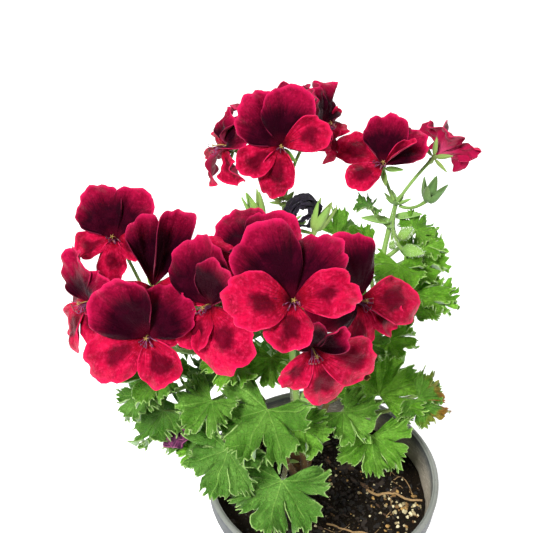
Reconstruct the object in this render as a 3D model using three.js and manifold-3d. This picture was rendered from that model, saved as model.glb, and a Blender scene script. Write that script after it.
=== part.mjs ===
// A regal pelargonium in a round plastic pot, in millimetres, +Z up.
// The origin is the centre of the pot's foot, on the surface that the pot stands on, and -Y is the side
// that most blooms face. A woody base stands in the soil and carries six leafy stems, four of which end in
// an umbel. Each leafy stem with its leaves, bracts, flower stalks, buds and sepals is one green solid, and
// each bloom is one solid of five petals round its throat.
import * as THREE from "three";
import { mergeVertices } from "three/addons/utils/BufferGeometryUtils.js";
import Module from "manifold-3d";

const wasm = await Module();
wasm.setup();

// Pot and soil
const POT_RIM_RADIUS = 65;
const POT_HEIGHT = 115;
const POT_FOOT_RADIUS = 45;
const POT_WALL = 1.6;
const RIM_BAND = 14;
const RIM_STEP = 3;
const RIM_LIP = 3.2;
const POT_FLOOR = 3;
const FOOT_RECESS = 3;
const FOOT_RING_WIDTH = 5;
const CENTRE_FOOT_RADIUS = 18;
const DRAIN_HOLES = 6;
const DRAIN_HOLE_RADIUS = 4.5;
const DRAIN_CIRCLE_RADIUS = 30;
const ROUND_SIDES = 32;
const SOIL_TOP = 97;
const SOIL_BUMP = 1.8;
const SOIL_RINGS = [9, 20, 31, 42, 51];

// Clearances and thin walls
const SEAT_GAP = 0.3;
const LEAF_THICKNESS = 0.8;
const PETAL_THICKNESS = 0.75;

// Woody base: one short trunk with a stub, standing in the soil
const TRUNK_LINE = [[-8, 4, 72], [-9, 4, 97], [-12, 5, 112], [-15, 7, 124]];
const TRUNK_RADII = [4.2, 3.8];

// Each stem: its line from the woody base to its tip, its radii there, and its leaves. A leaf is where the
// petiole leaves the stem (0 to 1), the place where it meets the blade, the heading and pitch of the
// blade's mid-vein, the blade's roll about it, all in degrees, and the blade's radius.
const STEMS = {
  back: {
    line: [[-13, 11, 116], [-16, 22, 150], [-19, 38, 190], [-21, 54, 228], [-22, 62, 252]],
    radii: [2.3, 1.4],
    leaves: [
      { at: 0.3, place: [-40, 44, 172], heading: 150, pitch: -10, roll: 0, radius: 27 },
      { at: 0.42, place: [-10, 62, 190], heading: 100, pitch: -10, roll: 0, radius: 25 },
      { at: 0.55, place: [-44, 66, 200], heading: 125, pitch: 0, roll: 0, radius: 23 },
      { at: 0.72, place: [8, 71, 225], heading: 30, pitch: 8, roll: 25, radius: 19 },
    ],
  },
  right: {
    line: [
      [-9, 6, 116],
      [2, 8, 136],
      [13, 10, 150],
      [19, 20, 166],
      [27, 38, 190],
      [34, 62, 222],
      [40, 74, 244],
    ],
    radii: [2.4, 1.3],
    leaves: [
      { at: 0.36, place: [29, 6, 165], heading: 68, pitch: 38, roll: 10, radius: 29 },
      { at: 0.18, place: [24, -12, 153], heading: 270, pitch: -30, roll: 0, radius: 23 },
      { at: 0.24, place: [49, 1, 167], heading: 335, pitch: -20, roll: 15, radius: 18 },
      { at: 0.46, place: [34, 20, 192], heading: 335, pitch: 0, roll: 20, radius: 16 },
      { at: 0.56, place: [46, 35, 211], heading: 350, pitch: 0, roll: 25, radius: 23 },
      { at: 0.64, place: [46, 50, 222], heading: 355, pitch: 5, roll: 28, radius: 22 },
      { at: 0.64, place: [25, 54, 226], heading: 205, pitch: 5, roll: -25, radius: 20 },
      { at: 0.8, place: [50, 63, 234], heading: 40, pitch: 10, roll: 20, radius: 13 },
      { at: 0.92, place: [26, 68, 246], heading: 190, pitch: 8, roll: 0, radius: 10 },
      { at: 0.6, place: [38, 37, 228], heading: 262, pitch: -28, roll: 0, radius: 17 },
      { at: 0.76, place: [53, 54, 228], heading: 345, pitch: 12, roll: 10, radius: 14 },
      { at: 0.52, place: [58, 33, 211], heading: 340, pitch: -12, roll: 10, radius: 15 },
      { at: 0.3, place: [52, 8, 164], heading: 20, pitch: 8, roll: 10, radius: 13 },
    ],
  },
  front: {
    line: [[-9, 0, 108], [-13, -6, 150], [-17, -9, 185], [-19, -8, 212], [-20, -8, 232]],
    radii: [2.3, 1.5],
    leaves: [
      { at: 0.42, place: [8, -14, 172], heading: 320, pitch: -20, roll: 10, radius: 20 },
      { at: 0.55, place: [16, 14, 196], heading: 10, pitch: 5, roll: 20, radius: 19 },
      { at: 0.74, place: [-42, 18, 216], heading: 160, pitch: 0, roll: -20, radius: 21 },
      { at: 0.62, place: [-29, -5, 201], heading: 265, pitch: -35, roll: 0, radius: 17 },
    ],
  },
  left: {
    line: [[-18, 6, 118], [-30, 9, 142], [-50, 12, 170], [-72, 16, 196], [-90, 19, 212]],
    radii: [2.3, 1.5],
    leaves: [
      { at: 0.32, place: [-67, -12, 167], heading: 215, pitch: -35, roll: 0, radius: 25 },
      { at: 0.46, place: [-85, -8, 167], heading: 200, pitch: -38, roll: 0, radius: 25 },
      { at: 0.55, place: [-70, 44, 176], heading: 140, pitch: -10, roll: 0, radius: 26 },
      { at: 0.7, place: [-98, 30, 186], heading: 165, pitch: -15, roll: 0, radius: 22 },
      { at: 0.62, place: [-84, -16, 202], heading: 240, pitch: -20, roll: 0, radius: 19 },
      { at: 0.6, place: [-94, -13, 182], heading: 215, pitch: -32, roll: 0, radius: 16 },
      { at: 0.3, place: [-67, -26, 158], heading: 225, pitch: -35, roll: 0, radius: 12 },
    ],
  },
  low: {
    line: [[-15, 0, 108], [-21, -11, 134], [-27, -17, 160], [-33, -20, 182]],
    radii: [2.2, 1.4],
    leaves: [
      { at: 0.9, place: [-31, -32, 191], heading: 235, pitch: -30, roll: 0, radius: 30 },
      { at: 0.34, place: [-24, -46, 157], heading: 250, pitch: -28, roll: 0, radius: 29 },
      { at: 0.5, place: [-50, -40, 172], heading: 240, pitch: -48, roll: 0, radius: 25 },
      { at: 0.97, place: [-46, -18, 210], heading: 200, pitch: 5, roll: -20, radius: 18 },
      { at: 0.75, place: [-58, -26, 191], heading: 228, pitch: -25, roll: 0, radius: 18 },
      { at: 0.72, place: [-14, -34, 182], heading: 305, pitch: -40, roll: 0, radius: 16 },
      { at: 0.8, place: [-56, -7, 191], heading: 130, pitch: 8, roll: -10, radius: 17 },
    ],
  },
  rear: {
    line: [[-8, 8, 109], [3, 30, 134], [10, 48, 158], [8, 60, 180]],
    radii: [2.2, 1.4],
    leaves: [
      { at: 0.4, place: [34, 50, 148], heading: 15, pitch: -20, roll: 0, radius: 23 },
      { at: 0.55, place: [-14, 68, 146], heading: 110, pitch: -25, roll: 0, radius: 27 },
      { at: 0.75, place: [30, 80, 168], heading: 55, pitch: -15, roll: 0, radius: 24 },
      { at: 0.95, place: [14, 90, 194], heading: 70, pitch: 0, roll: 0, radius: 20 },
    ],
  },
};

// Each umbel's blooms, under the stem that it ends. A bloom has its throat's place, the heading and pitch
// of the way it looks, its roll about that, its width across the petals, how much more its petals lean
// inwards, and the growth of its five petals.
const BLOOMS = {
  back: [
    { place: [-24, 61, 285], heading: 268, pitch: 30, roll: 8, width: 50 },
    { place: [-4, 88, 284], heading: 335, pitch: 30, roll: 0, width: 39 },
    { place: [-51, 75, 278], heading: 188, pitch: 16, roll: 0, width: 43 },
    { place: [-28, 94, 282], heading: 100, pitch: 40, roll: 0, width: 44 },
  ],
  right: [
    { place: [31, 74, 267], heading: 262, pitch: 48, roll: -25, width: 45 },
    { place: [62, 86, 268], heading: 40, pitch: 12, roll: 0, width: 38 },
  ],
  left: [
    { place: [-106, 27, 250], heading: 262, pitch: 48, roll: 0, width: 45 },
    { place: [-88, 11, 232], heading: 292, pitch: 42, roll: -6, width: 48, lean: 0.6 },
    {
      place: [-84, -31, 235],
      heading: 266,
      pitch: 38,
      roll: 12,
      width: 49,
      growth: [0.95, 1, 1.22, 1.08, 0.75],
    },
    { place: [-114, -2, 232], heading: 216, pitch: 30, roll: 0, width: 46 },
  ],
  front: [
    { place: [-21, -50, 268], heading: 272, pitch: 46, roll: 0, width: 53 },
    { place: [-56, -21, 245], heading: 243, pitch: 32, roll: 0, width: 50 },
    { place: [8, -21, 247], heading: 302, pitch: 36, roll: 42, width: 48 },
    { place: [-12, -44, 240], heading: 280, pitch: 14, roll: 10, width: 44 },
    {
      place: [-37, -3, 256],
      heading: 262,
      pitch: 58,
      roll: 6,
      width: 46,
      growth: [1, 1, 1, 1, 0.7],
    },
    { place: [-17, 23, 262], heading: 20, pitch: 60, roll: 0, width: 21, lean: 0.7, withered: true },
  ],
};

// Sepals whose petals have dropped, bracts and closed buds, under their stem
const SPENT = {
  front: [
    { place: [-35, 31, 261], heading: 160, pitch: 70, roll: 0 },
    { place: [-7, 22, 261], heading: 20, pitch: 66, roll: 0 },
  ],
  right: [{ place: [56, 65, 253], heading: 330, pitch: 75, roll: 0 }],
};
const BRACTS = {
  back: [{ place: [-21, 58, 240], heading: 330, pitch: 45, length: 13 }],
  right: [
    { place: [38, 70, 236], heading: 195, pitch: 15, length: 19 },
    { place: [39, 71, 238], heading: 345, pitch: 15, length: 16 },
  ],
  front: [{ place: [-20, -8, 222], heading: 190, pitch: 30, length: 13 }],
  left: [{ place: [-84, 18, 207], heading: 60, pitch: 40, length: 13 }],
};
const BUDS = {
  right: [
    { place: [35, 46, 233], heading: 270, pitch: 60 },
    { place: [39, 49, 237], heading: 320, pitch: 52 },
    { place: [39, 39, 237], heading: 330, pitch: 5 },
  ],
};

// The five petals, in order round the throat: direction, the sector that each fills, length as a share of
// the bloom's width, half-angle that its outline spreads over, lean out of the bloom's plane and recurve.
const PETALS = [
  { turn: 52, low: 13, high: 90, length: 0.59, spread: 62, lean: 0.3, recurve: 0.2 },
  { turn: 128, low: 90, high: 167, length: 0.59, spread: 62, lean: 0.3, recurve: 0.2 },
  { turn: 202, low: 167, high: 236, length: 0.5, spread: 48, lean: 0.26, recurve: 0.34 },
  { turn: 270, low: 236, high: 304, length: 0.5, spread: 46, lean: 0.24, recurve: 0.36 },
  { turn: 338, low: 304, high: 373, length: 0.5, spread: 48, lean: 0.26, recurve: 0.34 },
];
const PETAL_BLUNT = 0.42;
const FUNNEL_DEPTH = 0.13;
const FUNNEL_WIDTH = 0.08;
const PETAL_WAVE = 0.04;
const SEPAL_LENGTH = 10.5;
const KNOB = 2.2;

// Rings of a bloom's sheet: share of the way out and the points on each petal
const BLOOM_RINGS = [
  [0.28, 2],
  [0.68, 3],
  [1, 5],
];

// Calyx, flower stalk and bud, measured along the way that the flower looks
const CALYX_BACK = 2.6;
const SEPAL_TIP_RISE = 2.5;
const SEPAL_NOTCH_DROP = 2.2;
const SEPAL_NOTCH_SHARE = 0.3;
const CUP_GAP = 0.2;
const STALK_BACK = 13;
const STALK_PULL = 0.3;
const STALK_RADII = [0.95, 0.95, 0.95, 1, 1.9];
const BUD_BACK = 6;
const BUD_PULL = 0.4;
const BUD_LENGTH = 10;
const BUD_RADII = [0.8, 0.8, 0.9, 0.9, 2.2, 3, 2.4, 0.6];

// A bract's outline as shares of its length: along, half-width and rise
const BRACT_OUTLINE = [
  [0.42, 0.3, 0.06],
  [0.62, 0.17, 0.02],
];

// Leaf blade, as shares of its radius, and its outline of lobes over a sweep to either side. Each lobe has
// teeth on a large leaf and is plainly rounded on a small one.
const LEAF_SWEEP = 128;
const LEAF_CUP = 0.2;
const LEAF_PLEAT = 0.05;
const LEAF_WAVE = 0.09;
const LEAF_FALL = 0.22;
const LOBES = 5;
const SMALL_LEAF = 20;
const LOBE_STEPS = 6;
const SMALL_LOBE_STEPS = 4;
const NOTCH = 0.88;
const LOBE_CUT = 0.68;
const LOBE_ROUND = 0.14;
const SIDE_SHRINK = 0.2;
const UNEVEN = 0.05;
const MIDDLE_ROW = 0.52;

// Petiole: where it ends in the blade, its bend and its radii
const PETIOLE_END = [0.5, 0, -0.4];
const PETIOLE_BEND = 0.55;
const PETIOLE_SAG = 0.18;
const PETIOLE_RADII = [1.3, 1];

const DEGREE = Math.PI / 180;

const BAND_FOOT = POT_HEIGHT - RIM_BAND;
const WALL_TAPER = (POT_RIM_RADIUS - RIM_STEP - POT_FOOT_RADIUS) / BAND_FOOT;
const potWall = (z) => POT_FOOT_RADIUS + WALL_TAPER * z;

const vector = (p) => new THREE.Vector3(...p);

// An even, repeatable spread of numbers from -1 to 1 for the place of a piece in its list.
const wobble = (index, channel) => Math.sin(12.9898 * (index + 1) + 78.233 * (channel + 1));

function solidOf(geometry) {
  const bare = new THREE.BufferGeometry();
  bare.setAttribute("position", geometry.getAttribute("position"));
  if (geometry.index) bare.setIndex(geometry.index);
  const merged = mergeVertices(bare, 1e-3);
  const mesh = new wasm.Mesh({
    numProp: 3,
    vertProperties: merged.attributes.position.array,
    triVerts: new Uint32Array(merged.index.array),
  });
  return new wasm.Manifold(mesh);
}

function geometryOf(solid) {
  const mesh = solid.getMesh();
  const geometry = new THREE.BufferGeometry();
  geometry.setAttribute("position", new THREE.BufferAttribute(mesh.vertProperties, 3));
  geometry.setIndex(new THREE.BufferAttribute(mesh.triVerts, 1));
  return geometry;
}

const fused = (solids) => solids.reduce((whole, piece) => whole.add(piece));

// A closed blade of even thickness about a sheet of points, with the same triangles on both faces.
function blade(points, triangles, thickness) {
  const normals = points.map(() => new THREE.Vector3());
  const edges = new Map();
  for (const [a, b, c] of triangles) {
    const across = points[b].clone().sub(points[a]).cross(points[c].clone().sub(points[a]));
    for (const corner of [a, b, c]) normals[corner].add(across);
    for (const [from, to] of [[a, b], [b, c], [c, a]]) edges.set(`${from} ${to}`, [from, to]);
  }
  const top = points.map((p, i) => p.clone().addScaledVector(normals[i].normalize(), thickness / 2));
  const bottom = points.map((p, i) => p.clone().addScaledVector(normals[i], -thickness / 2));
  const n = points.length;
  const faces = [];
  for (const [a, b, c] of triangles) faces.push(a, b, c, n + a, n + c, n + b);
  for (const [from, to] of edges.values()) {
    if (!edges.has(`${to} ${from}`)) faces.push(to, from, n + from, to, n + from, n + to);
  }
  const geometry = new THREE.BufferGeometry().setFromPoints([...top, ...bottom]);
  geometry.setIndex(faces);
  return solidOf(geometry);
}

const taper = (from, to, steps) =>
  Array.from({ length: steps + 1 }, (_, i) => THREE.MathUtils.lerp(from, to, i / steps));

// A closed round limb along a curve, with its radii listed from end to end.
function limb(curve, radii, sides) {
  const steps = radii.length - 1;
  const frames = curve.computeFrenetFrames(steps, false);
  const rings = [];
  radii.forEach((radius, i) => {
    const centre = curve.getPointAt(i / steps);
    for (let k = 0; k < sides; k++) {
      const turn = (2 * Math.PI * k) / sides;
      rings.push(
        centre
          .clone()
          .addScaledVector(frames.normals[i], radius * Math.cos(turn))
          .addScaledVector(frames.binormals[i], radius * Math.sin(turn)),
      );
    }
  });
  const faces = [];
  for (let i = 0; i < steps; i++) {
    for (let k = 0; k < sides; k++) {
      const a = i * sides + k;
      const b = i * sides + ((k + 1) % sides);
      faces.push(a, b, b + sides, a, b + sides, a + sides);
    }
  }
  const last = steps * sides;
  for (let k = 1; k < sides - 1; k++) {
    faces.push(0, k + 1, k, last, last + k, last + k + 1);
  }
  const geometry = new THREE.BufferGeometry().setFromPoints(rings);
  geometry.setIndex(faces);
  return solidOf(geometry);
}

// Triangles between two rows of points that start and end side by side, whatever their counts.
function ladder(inner, outer) {
  const triangles = [];
  let i = 0;
  let o = 0;
  while (i < inner.length - 1 || o < outer.length - 1) {
    const stepInner = o === outer.length - 1 || (i + 1) / (inner.length - 1) < (o + 1) / (outer.length - 1);
    if (stepInner && i < inner.length - 1) {
      triangles.push([inner[i], outer[o], inner[i + 1]]);
      i++;
    } else {
      triangles.push([inner[i], outer[o], outer[o + 1]]);
      o++;
    }
  }
  return triangles;
}

const bend = (points) => new THREE.CatmullRomCurve3(points, false, "centripetal");
const arc = (from, over, to) => new THREE.QuadraticBezierCurve3(from, over, to);

// Points in the frame of a blade or bloom: x along the heading and pitch, z up from it, then rolled about x.
function frameOf({ place, heading, pitch, roll }) {
  const along = new THREE.Vector3(
    Math.cos(pitch * DEGREE) * Math.cos(heading * DEGREE),
    Math.cos(pitch * DEGREE) * Math.sin(heading * DEGREE),
    Math.sin(pitch * DEGREE),
  );
  const side = new THREE.Vector3(0, 0, 1).cross(along).normalize();
  const up = along.clone().cross(side);
  side.applyAxisAngle(along, roll * DEGREE);
  up.applyAxisAngle(along, roll * DEGREE);
  const at = vector(place);
  return (x, y, z) => at.clone().addScaledVector(along, x).addScaledVector(side, y).addScaledVector(up, z);
}

// Pot

function pot() {
  const floor = FOOT_RECESS + POT_FLOOR;
  const profile = [
    [0, 0],
    [CENTRE_FOOT_RADIUS, 0],
    [CENTRE_FOOT_RADIUS + 1, FOOT_RECESS],
    [POT_FOOT_RADIUS - FOOT_RING_WIDTH - 1, FOOT_RECESS],
    [POT_FOOT_RADIUS - FOOT_RING_WIDTH, 0],
    [POT_FOOT_RADIUS, 0],
    [potWall(BAND_FOOT), BAND_FOOT],
    [POT_RIM_RADIUS - 1, BAND_FOOT],
    [POT_RIM_RADIUS, POT_HEIGHT - RIM_LIP],
    [POT_RIM_RADIUS, POT_HEIGHT - 1],
    [POT_RIM_RADIUS - 1, POT_HEIGHT],
    [POT_RIM_RADIUS - RIM_LIP, POT_HEIGHT],
    [POT_RIM_RADIUS - RIM_LIP - 0.6, BAND_FOOT + 1],
    [potWall(BAND_FOOT) - POT_WALL, BAND_FOOT - 1],
    [potWall(floor) - POT_WALL, floor],
    [0, floor],
  ].map(([r, z]) => new THREE.Vector2(r, z));
  const turned = new THREE.LatheGeometry(profile, ROUND_SIDES);
  turned.rotateX(Math.PI / 2);
  let shell = solidOf(turned);
  for (let k = 0; k < DRAIN_HOLES; k++) {
    const turn = (2 * Math.PI * k) / DRAIN_HOLES;
    const drill = new THREE.CylinderGeometry(DRAIN_HOLE_RADIUS, DRAIN_HOLE_RADIUS, 3 * POT_FLOOR, 10);
    drill.rotateX(Math.PI / 2);
    drill.translate(
      DRAIN_CIRCLE_RADIUS * Math.cos(turn),
      DRAIN_CIRCLE_RADIUS * Math.sin(turn),
      FOOT_RECESS + POT_FLOOR / 2,
    );
    shell = shell.subtract(solidOf(drill));
  }
  return shell;
}

// Soil: fills the pot up to a lumpy top, with a plain hole where the woody base stands

const soilHeight = (x, y) =>
  SOIL_TOP +
  SOIL_BUMP * (0.6 * Math.sin(0.17 * x + 1.3) * Math.cos(0.15 * y) + 0.4 * Math.sin(0.31 * x - 0.27 * y));

function soil(trunk) {
  const inside = (z) => potWall(z) - POT_WALL - 2 * SEAT_GAP;
  const bottom = FOOT_RECESS + POT_FLOOR + SEAT_GAP;
  const rings = [...SOIL_RINGS, inside(SOIL_TOP)];
  const top = [...rings.map((r) => [r, SOIL_TOP]).reverse(), [0, SOIL_TOP]];
  const profile = [[0, bottom], [inside(bottom), bottom], ...top];
  const turned = new THREE.LatheGeometry(
    profile.map(([r, z]) => new THREE.Vector2(r, z)),
    ROUND_SIDES / 2,
  );
  turned.rotateX(Math.PI / 2);
  const places = turned.getAttribute("position");
  for (let i = 0; i < places.count; i++) {
    if (places.getZ(i) > SOIL_TOP - 1) places.setZ(i, soilHeight(places.getX(i), places.getY(i)));
  }
  return solidOf(turned).subtract(trunk(SEAT_GAP));
}

// Woody base, wider all round by a clearance where it is used as a cutter

function trunk(wider) {
  const radii = TRUNK_RADII.map((r) => r + wider);
  const line = TRUNK_LINE.map(vector);
  const [below, tip] = line.slice(-2);
  line[0].z -= wider;
  tip.addScaledVector(tip.clone().sub(below).normalize(), wider);
  return limb(bend(line), taper(...radii, 4), 7);
}

// Leaves

const isSmall = (leaf) => leaf.radius < SMALL_LEAF;
const lobeSteps = (leaf) => (isSmall(leaf) ? SMALL_LOBE_STEPS : LOBE_STEPS);

// The blade's outline, as the distance from the petiole at each of its evenly spread points. It is cut
// deepest between two lobes. On a large leaf odd points are tooth tips and even ones the notches between.
function leafReach(step, leaf, index) {
  const side = (2 * step) / (LOBES * lobeSteps(leaf)) - 1;
  const overall = 1 - SIDE_SHRINK * side * side + UNEVEN * wobble(index + step, 1);
  const within = (step % lobeSteps(leaf)) / lobeSteps(leaf);
  const lobe = 1 - LOBE_ROUND * Math.abs(2 * within - 1);
  const notched = !isSmall(leaf) && step % 2 === 0;
  const cut = within === 0 ? LOBE_CUT / lobe : notched ? NOTCH : 1;
  return leaf.radius * overall * lobe * cut;
}

// A point of the blade: share of the way from the petiole to the outline, and step along the outline.
function leafPoint(leaf, index, frame, share, step) {
  const lobesPassed = step / lobeSteps(leaf);
  const turn = LEAF_SWEEP * DEGREE * ((2 * lobesPassed) / LOBES - 1);
  const reach = share * leafReach(step, leaf, index);
  const out = reach / leaf.radius;
  const pleat = LEAF_PLEAT * out * Math.cos(2 * Math.PI * lobesPassed);
  const wave = LEAF_WAVE * out * out * Math.sin(3 * turn + 3 * wobble(index, 2));
  const fall = LEAF_FALL * (out * Math.max(0, Math.cos(turn))) ** 2;
  const height = leaf.radius * (LEAF_CUP * out * out + pleat + wave - fall);
  return frame(reach * Math.cos(turn), reach * Math.sin(turn), height);
}

function leafBlade(leaf, index) {
  const frame = frameOf(leaf);
  const points = [frame(0, 0, 0)];
  const row = (share, perLobe) =>
    Array.from({ length: LOBES * perLobe + 1 }, (_, i) => {
      points.push(leafPoint(leaf, index, frame, share, (i * lobeSteps(leaf)) / perLobe));
      return points.length - 1;
    });
  const middle = row(MIDDLE_ROW, isSmall(leaf) ? 1 : 2);
  const outline = row(1, lobeSteps(leaf));
  const fan = middle.slice(1).map((corner, i) => [0, middle[i], corner]);
  return blade(points, [...fan, ...ladder(middle, outline)], LEAF_THICKNESS);
}

function petiole(leaf, curve) {
  const frame = frameOf(leaf);
  const from = curve.getPointAt(leaf.at);
  const to = frame(...PETIOLE_END);
  const over = from.clone().lerp(to, PETIOLE_BEND);
  over.z -= PETIOLE_SAG * from.distanceTo(to);
  return limb(arc(from, over, to), taper(...PETIOLE_RADII, 3), 4);
}

// Blooms

// A point of a bloom: its petal, the angle round the throat and the share of the way out to the petal's edge.
function bloomPoint(bloom, index, frame, petal, angle, share) {
  const grown = petal.length * bloom.width * (bloom.growth?.[PETALS.indexOf(petal)] ?? 1);
  const aside = (angle - petal.turn) * DEGREE;
  const reach = share * grown * Math.cos((90 * DEGREE * aside) / (petal.spread * DEGREE)) ** PETAL_BLUNT;
  const out = reach / grown;
  const funnel = FUNNEL_DEPTH * bloom.width * (1 - Math.exp(-reach / (FUNNEL_WIDTH * bloom.width)));
  const wave = PETAL_WAVE * bloom.width * out * out * Math.sin(4 * aside + 3 * wobble(index, petal.turn));
  const lean = petal.lean + (bloom.lean ?? 0);
  const height = funnel + lean * reach - petal.recurve * reach * out + wave;
  return frame(height, reach * Math.cos(angle * DEGREE), reach * Math.sin(angle * DEGREE));
}

// All five petals as one sheet, notched where two of them meet.
function bloomSolid(bloom, index) {
  const frame = frameOf(bloom);
  const points = [frame(0, 0, 0)];
  const ring = ([share, perPetal]) => {
    const row = PETALS.flatMap((petal, p) => {
      const before = PETALS[(p + PETALS.length - 1) % PETALS.length];
      return Array.from({ length: perPetal }, (_, i) => {
        const angle = petal.low + ((petal.high - petal.low) * i) / perPetal;
        const place = bloomPoint(bloom, index, frame, petal, angle, share);
        if (i === 0) place.lerp(bloomPoint(bloom, index, frame, before, before.high, share), 0.5);
        points.push(place);
        return points.length - 1;
      });
    });
    return [...row, row[0]];
  };
  const [inner, middle, edge] = BLOOM_RINGS.map(ring);
  const fan = inner.slice(1).map((corner, i) => [0, inner[i], corner]);
  return blade(points, [...fan, ...ladder(inner, middle), ...ladder(middle, edge)], PETAL_THICKNESS);
}

// Calyx at the end of its stalk: a cup that the throat seats on, and five pointed sepals as one sheet
function calyx(flower, umbel) {
  const frame = frameOf(flower);
  const points = [frame(-CALYX_BACK, 0, 0)];
  const star = [];
  for (let k = 0; k <= 10; k++) {
    const turn = (90 + 36 * k) * DEGREE;
    const reach = k % 2 === 0 ? SEPAL_LENGTH : SEPAL_NOTCH_SHARE * SEPAL_LENGTH;
    const height = k % 2 === 0 ? SEPAL_TIP_RISE : -SEPAL_NOTCH_DROP;
    if (k < 10) points.push(frame(height, reach * Math.cos(turn), reach * Math.sin(turn)));
    if (k > 0) star.push([0, k, (k % 10) + 1]);
  }
  const cupTop = frame(-PETAL_THICKNESS / 2 - SEAT_GAP - CUP_GAP, 0, 0);
  const over = frame(-STALK_BACK, 0, 0).lerp(umbel, STALK_PULL);
  const start = umbel.clone().lerp(over, KNOB / umbel.distanceTo(over));
  const stalk = limb(arc(start, over, cupTop), STALK_RADII, 4);
  return stalk.add(blade(points, star, PETAL_THICKNESS));
}

function bud(flower, umbel) {
  const frame = frameOf({ roll: 0, ...flower });
  const over = frame(-BUD_BACK, 0, 0).lerp(umbel, BUD_PULL);
  const start = umbel.clone().lerp(over, KNOB / umbel.distanceTo(over));
  return limb(bend([start, over, frame(0, 0, 0), frame(BUD_LENGTH, 0, 0)]), BUD_RADII, 5);
}

function bract(flower) {
  const frame = frameOf({ roll: 0, ...flower });
  const at = (x, y, z) => frame(x * flower.length, y * flower.length, z * flower.length);
  const left = BRACT_OUTLINE.map(([x, y, z]) => at(x, y, z));
  const right = BRACT_OUTLINE.map(([x, y, z]) => at(x, -y, z)).reverse();
  const corners = [at(0, 0, 0), ...left, at(1, 0, 0), ...right];
  return blade(corners, [[0, 2, 1], [0, 3, 2], [0, 4, 3], [0, 5, 4]], LEAF_THICKNESS);
}

// Assembly

function leafyStem(name, order) {
  const stem = STEMS[name];
  const curve = bend(stem.line.map(vector));
  const pieces = [limb(curve, taper(...stem.radii, 2 * stem.line.length), 5)];
  stem.leaves.forEach((leaf, i) => pieces.push(leafBlade(leaf, 10 * order + i), petiole(leaf, curve)));
  const tip = vector(stem.line[stem.line.length - 1]);
  if (BLOOMS[name]) {
    const knob = new THREE.IcosahedronGeometry(1.3 * KNOB, 0);
    pieces.push(solidOf(knob.translate(...tip.toArray())));
  }
  for (const flower of [...(BLOOMS[name] ?? []), ...(SPENT[name] ?? [])]) pieces.push(calyx(flower, tip));
  for (const flower of BUDS[name] ?? []) pieces.push(bud(flower, tip));
  pieces.push(...(BRACTS[name] ?? []).map(bract));
  return fused(pieces).subtract(trunk(SEAT_GAP));
}

function material(colour, roughness) {
  return new THREE.MeshStandardMaterial({ color: colour, roughness, metalness: 0 });
}

const finishes = {
  pot: material(0x77797c, 0.55),
  soil: material(0x2c2019, 0.95),
  wood: material(0x7d5c3e, 0.85),
  leaf: material(0x4f8a35, 0.65),
  petal: material(0xa80f35, 0.6),
  withered: material(0x1c141d, 0.8),
};

const plant = new THREE.Group();

function add(name, solid, finish) {
  const mesh = new THREE.Mesh(geometryOf(solid), finish);
  mesh.name = name;
  plant.add(mesh);
}

add("pot", pot(), finishes.pot);
add("soil", soil(trunk), finishes.soil);
add("woody_base", trunk(0), finishes.wood);
Object.keys(STEMS).forEach((name, order) => add(`leafy_stem_${name}`, leafyStem(name, order), finishes.leaf));
for (const [name, blooms] of Object.entries(BLOOMS)) {
  blooms.forEach((bloom, i) => {
    const index = 7 * name.length + i;
    const finish = bloom.withered ? finishes.withered : finishes.petal;
    add(`bloom_${name}_${i + 1}`, bloomSolid(bloom, index), finish);
  });
}

export default plant;
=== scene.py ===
import math

import bpy
import numpy as np
from mathutils import Matrix, Vector, noise


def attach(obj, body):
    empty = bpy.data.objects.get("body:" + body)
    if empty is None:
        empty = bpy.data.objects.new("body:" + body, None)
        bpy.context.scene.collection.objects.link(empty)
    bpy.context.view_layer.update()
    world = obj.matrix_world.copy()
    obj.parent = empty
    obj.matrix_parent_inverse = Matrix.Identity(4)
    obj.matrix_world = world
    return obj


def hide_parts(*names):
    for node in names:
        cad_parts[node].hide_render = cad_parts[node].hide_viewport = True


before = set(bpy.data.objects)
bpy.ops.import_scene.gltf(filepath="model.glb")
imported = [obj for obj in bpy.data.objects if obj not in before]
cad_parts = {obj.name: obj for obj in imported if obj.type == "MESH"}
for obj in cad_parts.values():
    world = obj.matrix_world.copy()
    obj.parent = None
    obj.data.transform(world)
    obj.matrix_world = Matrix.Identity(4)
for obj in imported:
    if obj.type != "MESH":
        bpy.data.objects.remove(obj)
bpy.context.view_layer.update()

MM = 0.001
DEGREE = math.pi / 180
RANDOM_SEED = 11
BEND_SAMPLES = 200

# Pot and soil
RIM_RADIUS = 65
POT_HEIGHT = 115
FOOT_RADIUS = 45
POT_WALL = 1.6
RIM_BAND = 14
RIM_STEP = 3
RIM_LIP = 3.2
FOOT_RECESS = 3
FLOOR_TOP = 6
CENTRE_FOOT_RADIUS = 18
DRAIN_HOLES = 6
DRAIN_HOLE_RADIUS = 4.5
DRAIN_CIRCLE_RADIUS = 30
SOIL_TOP = 97
SOIL_BUMP = 1.8
SEAT_GAP = 0.3
BAND_FOOT = POT_HEIGHT - RIM_BAND

TRUNK_LINE = [(-8, 4, 72), (-9, 4, 97), (-12, 5, 112), (-15, 7, 124)]
TRUNK_RADII = (4.2, 3.8)

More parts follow.
